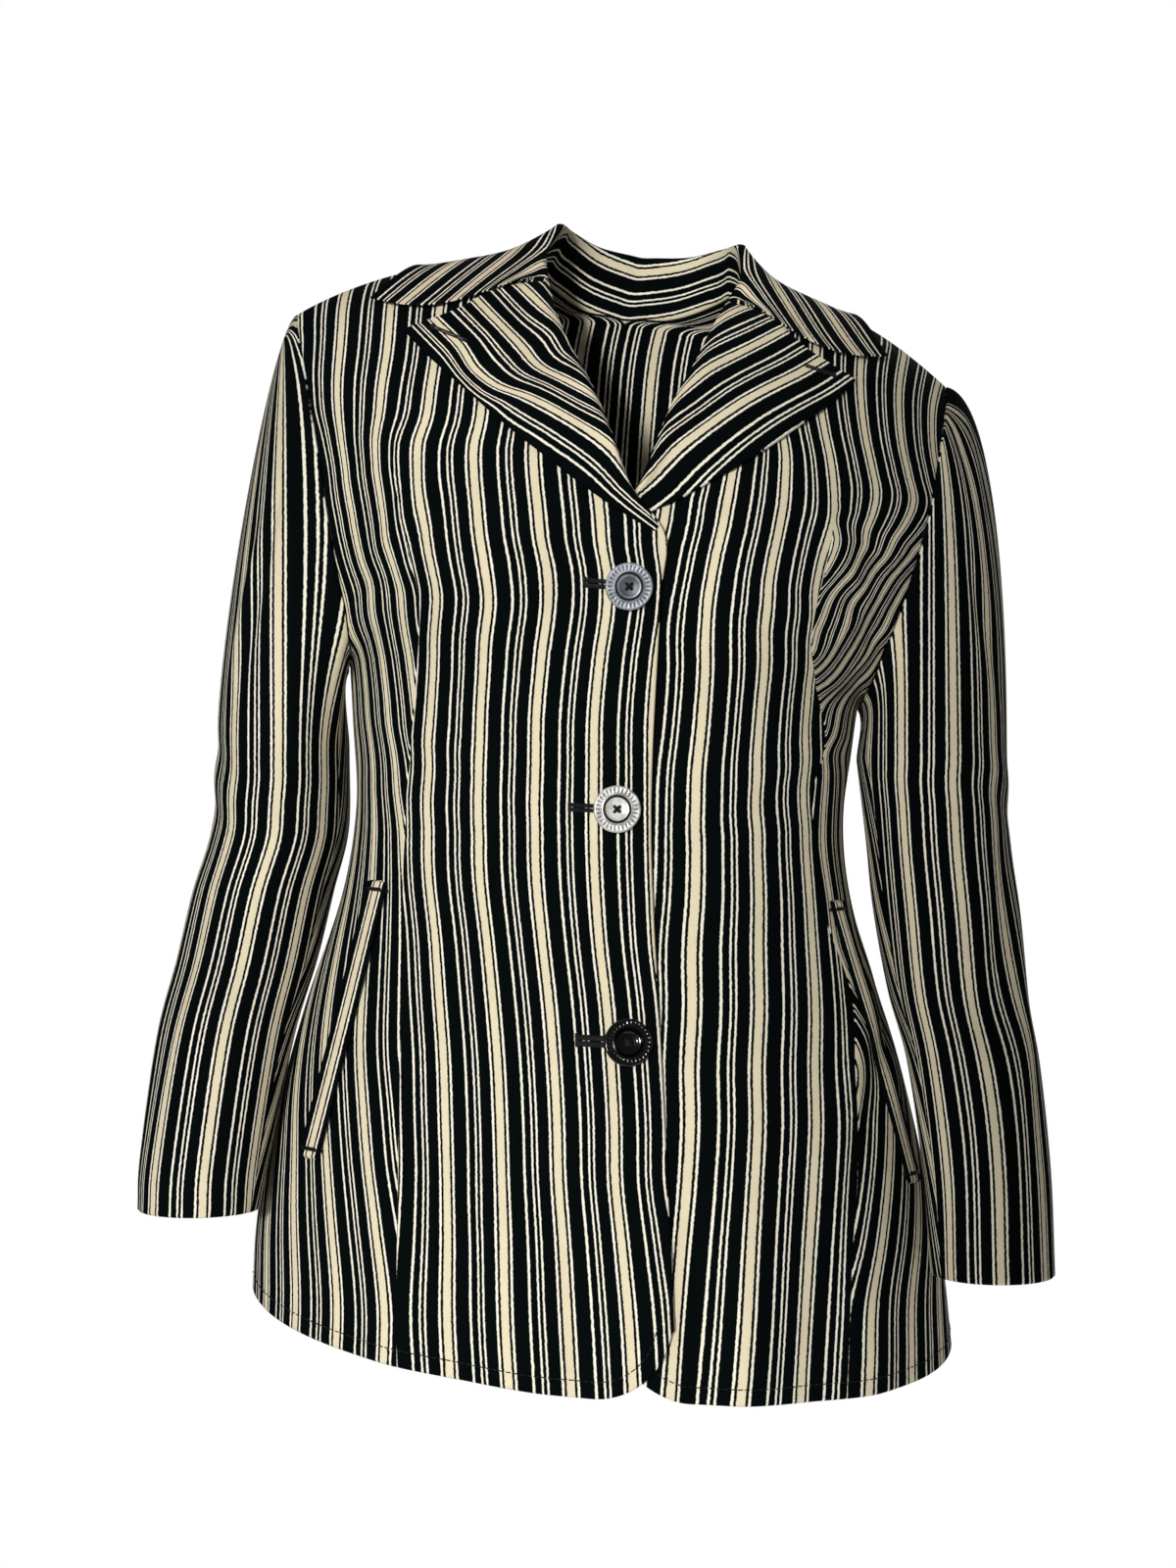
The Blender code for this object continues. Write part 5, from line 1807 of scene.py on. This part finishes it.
def make_tacks():
    """A short black bar of stitches across each end of both welts."""
    made = surfaces()
    for name, side in (("left", 1), ("right", -1)):
        surface = made["left" if side > 0 else "right"][0]
        ends = along(WELT_LINE, 40)
        paths = []
        t = np.linspace(0, 1, TACK_POINTS)
        for at in (ends[1], ends[-2]):
            for lane in np.linspace(-TACK_SPREAD, TACK_SPREAD, TACK_STRANDS):
                x = at[0] + (2 * t - 1) * (WELT_HALF_WIDTH + TACK_REACH)
                paths.append(np.stack([x, at[1] + lane + 0 * t], axis=-1))
        points, out = nearest_on(surface, np.array(paths))
        over = DOUBLE + WELT_GAP + WELT_CROWN * (1 - (2 * t - 1) ** 2) + TACK_LIFT
        points = points + out * (over - TACK_DIP * (2 * t - 1) ** 6)[None, :, None]
        points = stance(points * MIRRORED if side < 0 else points)
        thread_piece("welt_tacks_" + name, points, TACK_THREAD, STITCH_SIDES)


# ------------------------------------------------------------------ stage


def area_light(name, place_at, aim, width, height, spread, power, colour, strength):
    """A soft light at a place, turned to what it lights, its beam as wide as its spread."""
    data = bpy.data.lights.new(name, "AREA")
    data.shape = "RECTANGLE"
    data.size = width
    data.size_y = height
    data.spread = math.radians(spread)
    data.energy = power * strength
    data.color = colour
    ob = bpy.data.objects.new(name, data)
    bpy.context.scene.collection.objects.link(ob)
    ob.location = place_at
    ob.rotation_euler = (Vector(aim) - Vector(place_at)).to_track_quat("-Z", "Y").to_euler()


def make_stage():
    """Floor, world, soft lights and the camera."""
    stage = bpy.context.scene.blazer_stage
    s = np.arange(FLOOR_SIDES)
    a = 2 * np.pi * s / FLOOR_SIDES
    radii = np.array(FLOOR_RADII)[:, None]
    discs = np.stack([radii * np.cos(a), radii * np.sin(a) + FLOOR_FORWARD, 0 * radii * a + FLOOR], axis=-1)
    points = np.concatenate([discs.reshape(-1, 3), [[0, FLOOR_FORWARD, FLOOR]]])
    faces = ring_walls(len(radii), FLOOR_SIDES)[:, [0, 3, 2, 1]].tolist()
    faces += np.stack([0 * s + discs[..., 0].size, s, (s + 1) % FLOOR_SIDES], 1).tolist()
    floor = solid("stage_floor", points, faces)
    mat, tree, shader = fresh_material("stage_floor")
    at = tree.nodes.new("ShaderNodeTexCoord").outputs["Object"]
    clouds = noise(tree, at, FLOOR_CLOUDS)
    dimmer = opaque(FLOOR_DIM * v for v in stage.floor)
    colour = ramp(tree, clouds, ((0.3, dimmer), (0.7, opaque(stage.floor))))
    tree.links.new(colour, shader.inputs["Base Color"])
    shader.inputs["Roughness"].default_value = FLOOR_ROUGH
    shader.inputs["Emission Color"].default_value = (1, 1, 1, 1)
    shader.inputs["Emission Strength"].default_value = FLOOR_GLOW
    floor.data.materials.append(mat)
    scene = bpy.context.scene
    world = bpy.data.worlds.new("studio")
    scene.world = world
    world.use_nodes = True
    tree = world.node_tree
    tree.nodes.clear()
    seen = tree.nodes.new("ShaderNodeLightPath").outputs["Is Camera Ray"]
    dim = place(tree, "ShaderNodeBackground", (("Color", (1, 1, 1, 1)), ("Strength", stage.fill)))
    plain = place(tree, "ShaderNodeBackground", (("Color", (1, 1, 1, 1)), ("Strength", 1.0)))
    mix = place(tree, "ShaderNodeMixShader", ((0, seen), (1, dim.outputs[0]), (2, plain.outputs[0])))
    place(tree, "ShaderNodeOutputWorld", ((0, mix.outputs[0]),))
    for light in LIGHTS:
        area_light(*light, stage.key)
    data = bpy.data.cameras.new("camera")
    data.lens = stage.lens
    data.sensor_width = SENSOR
    data.clip_end = FARTHEST
    camera = bpy.data.objects.new("camera", data)
    scene.collection.objects.link(camera)
    camera.location = CAMERA_PLACE
    camera.rotation_euler = (math.pi / 2, 0, 0)
    scene.camera = camera
    scene.view_settings.view_transform = "Standard"
    scene.view_settings.look = "None"


# ------------------------------------------------------------------ properties, operators and panel


class BlazerCloth(bpy.types.PropertyGroup):
    """Colours and scale of the cloth."""

    cream: FloatVectorProperty(
        name="Cream", description="The wide stripe", subtype="COLOR", size=3, default=(0.77, 0.69, 0.49)
    )
    pale: FloatVectorProperty(
        name="Pale", description="The thin stripes", subtype="COLOR", size=3, default=(0.86, 0.825, 0.70)
    )
    navy: FloatVectorProperty(
        name="Navy", description="The ground", subtype="COLOR", size=3, default=(0.0012, 0.0026, 0.0028)
    )
    pin: FloatVectorProperty(
        name="Pin line", description="The fine lines beside the wide stripe", subtype="COLOR", size=3,
        default=(0.006, 0.005, 0.004),
    )
    pitch: FloatProperty(
        name="Yarn pitch", description="Distance between yarns", unit="LENGTH", default=0.0006, min=0.0002
    )
    wander: FloatProperty(
        name="Wander", description="How far a stripe's edge strays", unit="LENGTH", default=0.0009, min=0.0
    )


class BlazerSewing(bpy.types.PropertyGroup):
    """Sizes and colour of the stitching."""

    thread: FloatVectorProperty(
        name="Thread", description="Sewing thread", subtype="COLOR", size=3, default=(0.0015, 0.0015, 0.002)
    )
    stitch: FloatProperty(
        name="Stitch", description="Length of a hem stitch", unit="LENGTH", default=0.0026, min=0.001
    )
    gap: FloatProperty(
        name="Gap", description="Gap between hem stitches", unit="LENGTH", default=0.0011, min=0.0
    )
    radius: FloatProperty(
        name="Thread radius", description="Radius of the hem thread", unit="LENGTH",
        default=0.00033, min=0.0001,
    )
    above: FloatProperty(
        name="Above the edge", description="Hem edge to its stitching", unit="LENGTH",
        default=0.008, min=0.002,
    )


class BlazerStage(bpy.types.PropertyGroup):
    """Light, floor and lens."""

    floor: FloatVectorProperty(
        name="Floor", description="Colour of the floor", subtype="COLOR", size=3, default=(0.93, 0.93, 0.93)
    )
    key: FloatProperty(name="Lights", description="Strength of all lights", default=1.0, min=0.0)
    fill: FloatProperty(name="Fill", description="Strength of the surrounding light", default=0.1, min=0.0)
    lens: FloatProperty(name="Lens", description="Focal length", unit="CAMERA", default=73.6, min=20.0)


class BLAZER_OT_fronts(bpy.types.Operator):
    """Make both fronts"""

    bl_idname = "blazer.fronts"
    bl_label = "Fronts"

    def execute(self, context):
        make_fronts()
        return {"FINISHED"}


class BLAZER_OT_backs(bpy.types.Operator):
    """Make both backs"""

    bl_idname = "blazer.backs"
    bl_label = "Backs"

    def execute(self, context):
        make_backs()
        return {"FINISHED"}


class BLAZER_OT_sleeves(bpy.types.Operator):
    """Make both sleeves"""

    bl_idname = "blazer.sleeves"
    bl_label = "Sleeves"

    def execute(self, context):
        make_sleeves()
        return {"FINISHED"}


class BLAZER_OT_lapels(bpy.types.Operator):
    """Make both lapels"""

    bl_idname = "blazer.lapels"
    bl_label = "Lapels"

    def execute(self, context):
        make_lapels()
        return {"FINISHED"}


class BLAZER_OT_collar(bpy.types.Operator):
    """Make the collar"""

    bl_idname = "blazer.collar"
    bl_label = "Collar"

    def execute(self, context):
        make_collar()
        return {"FINISHED"}


class BLAZER_OT_welts(bpy.types.Operator):
    """Make both pocket welts and the tacks at their ends"""

    bl_idname = "blazer.welts"
    bl_label = "Welts"

    def execute(self, context):
        make_welts()
        make_tacks()
        return {"FINISHED"}


class BLAZER_OT_buttons(bpy.types.Operator):
    """Make the three buttons and their thread"""

    bl_idname = "blazer.buttons"
    bl_label = "Buttons"

    def execute(self, context):
        make_buttons()
        return {"FINISHED"}


class BLAZER_OT_sewing(bpy.types.Operator):
    """Make the hem's stitching and the worked buttonholes"""

    bl_idname = "blazer.sewing"
    bl_label = "Sewing"

    def execute(self, context):
        make_hem()
        make_buttonholes()
        return {"FINISHED"}


class BLAZER_OT_stage(bpy.types.Operator):
    """Make the floor, the lights and the camera"""

    bl_idname = "blazer.stage"
    bl_label = "Stage"

    def execute(self, context):
        make_stage()
        return {"FINISHED"}


class BLAZER_PT_panel(bpy.types.Panel):
    """Sizes, colours and pieces of the blazer"""

    bl_label = "Striped blazer"
    bl_idname = "BLAZER_PT_panel"
    bl_space_type = "VIEW_3D"
    bl_region_type = "UI"
    bl_category = "Blazer"

    def draw(self, context):
        for key in ("blazer_cloth", "blazer_sewing", "blazer_stage"):
            values = getattr(context.scene, key)
            box = self.layout.box()
            for name in values.__annotations__:
                box.prop(values, name)
        for operator in OPERATORS:
            self.layout.operator(operator.bl_idname)


GROUPS = (("blazer_cloth", BlazerCloth), ("blazer_sewing", BlazerSewing), ("blazer_stage", BlazerStage))
OPERATORS = (
    BLAZER_OT_stage,
    BLAZER_OT_fronts,
    BLAZER_OT_backs,
    BLAZER_OT_sleeves,
    BLAZER_OT_lapels,
    BLAZER_OT_collar,
    BLAZER_OT_welts,
    BLAZER_OT_buttons,
    BLAZER_OT_sewing,
)


def register():
    """Register every class and hang the properties on the scene."""
    for key, kind in GROUPS:
        bpy.utils.register_class(kind)
        setattr(bpy.types.Scene, key, PointerProperty(type=kind))
    for kind in OPERATORS + (BLAZER_PT_panel,):
        bpy.utils.register_class(kind)


def unregister():
    """Take the classes and properties away again."""
    for kind in reversed(OPERATORS + (BLAZER_PT_panel,)):
        bpy.utils.unregister_class(kind)
    for key, kind in reversed(GROUPS):
        delattr(bpy.types.Scene, key)
        bpy.utils.unregister_class(kind)


def main():
    """Make every piece."""
    register()
    for operator in OPERATORS:
        group_name, action = operator.bl_idname.split(".")
        getattr(getattr(bpy.ops, group_name), action)()


if __name__ == "__main__":
    main()
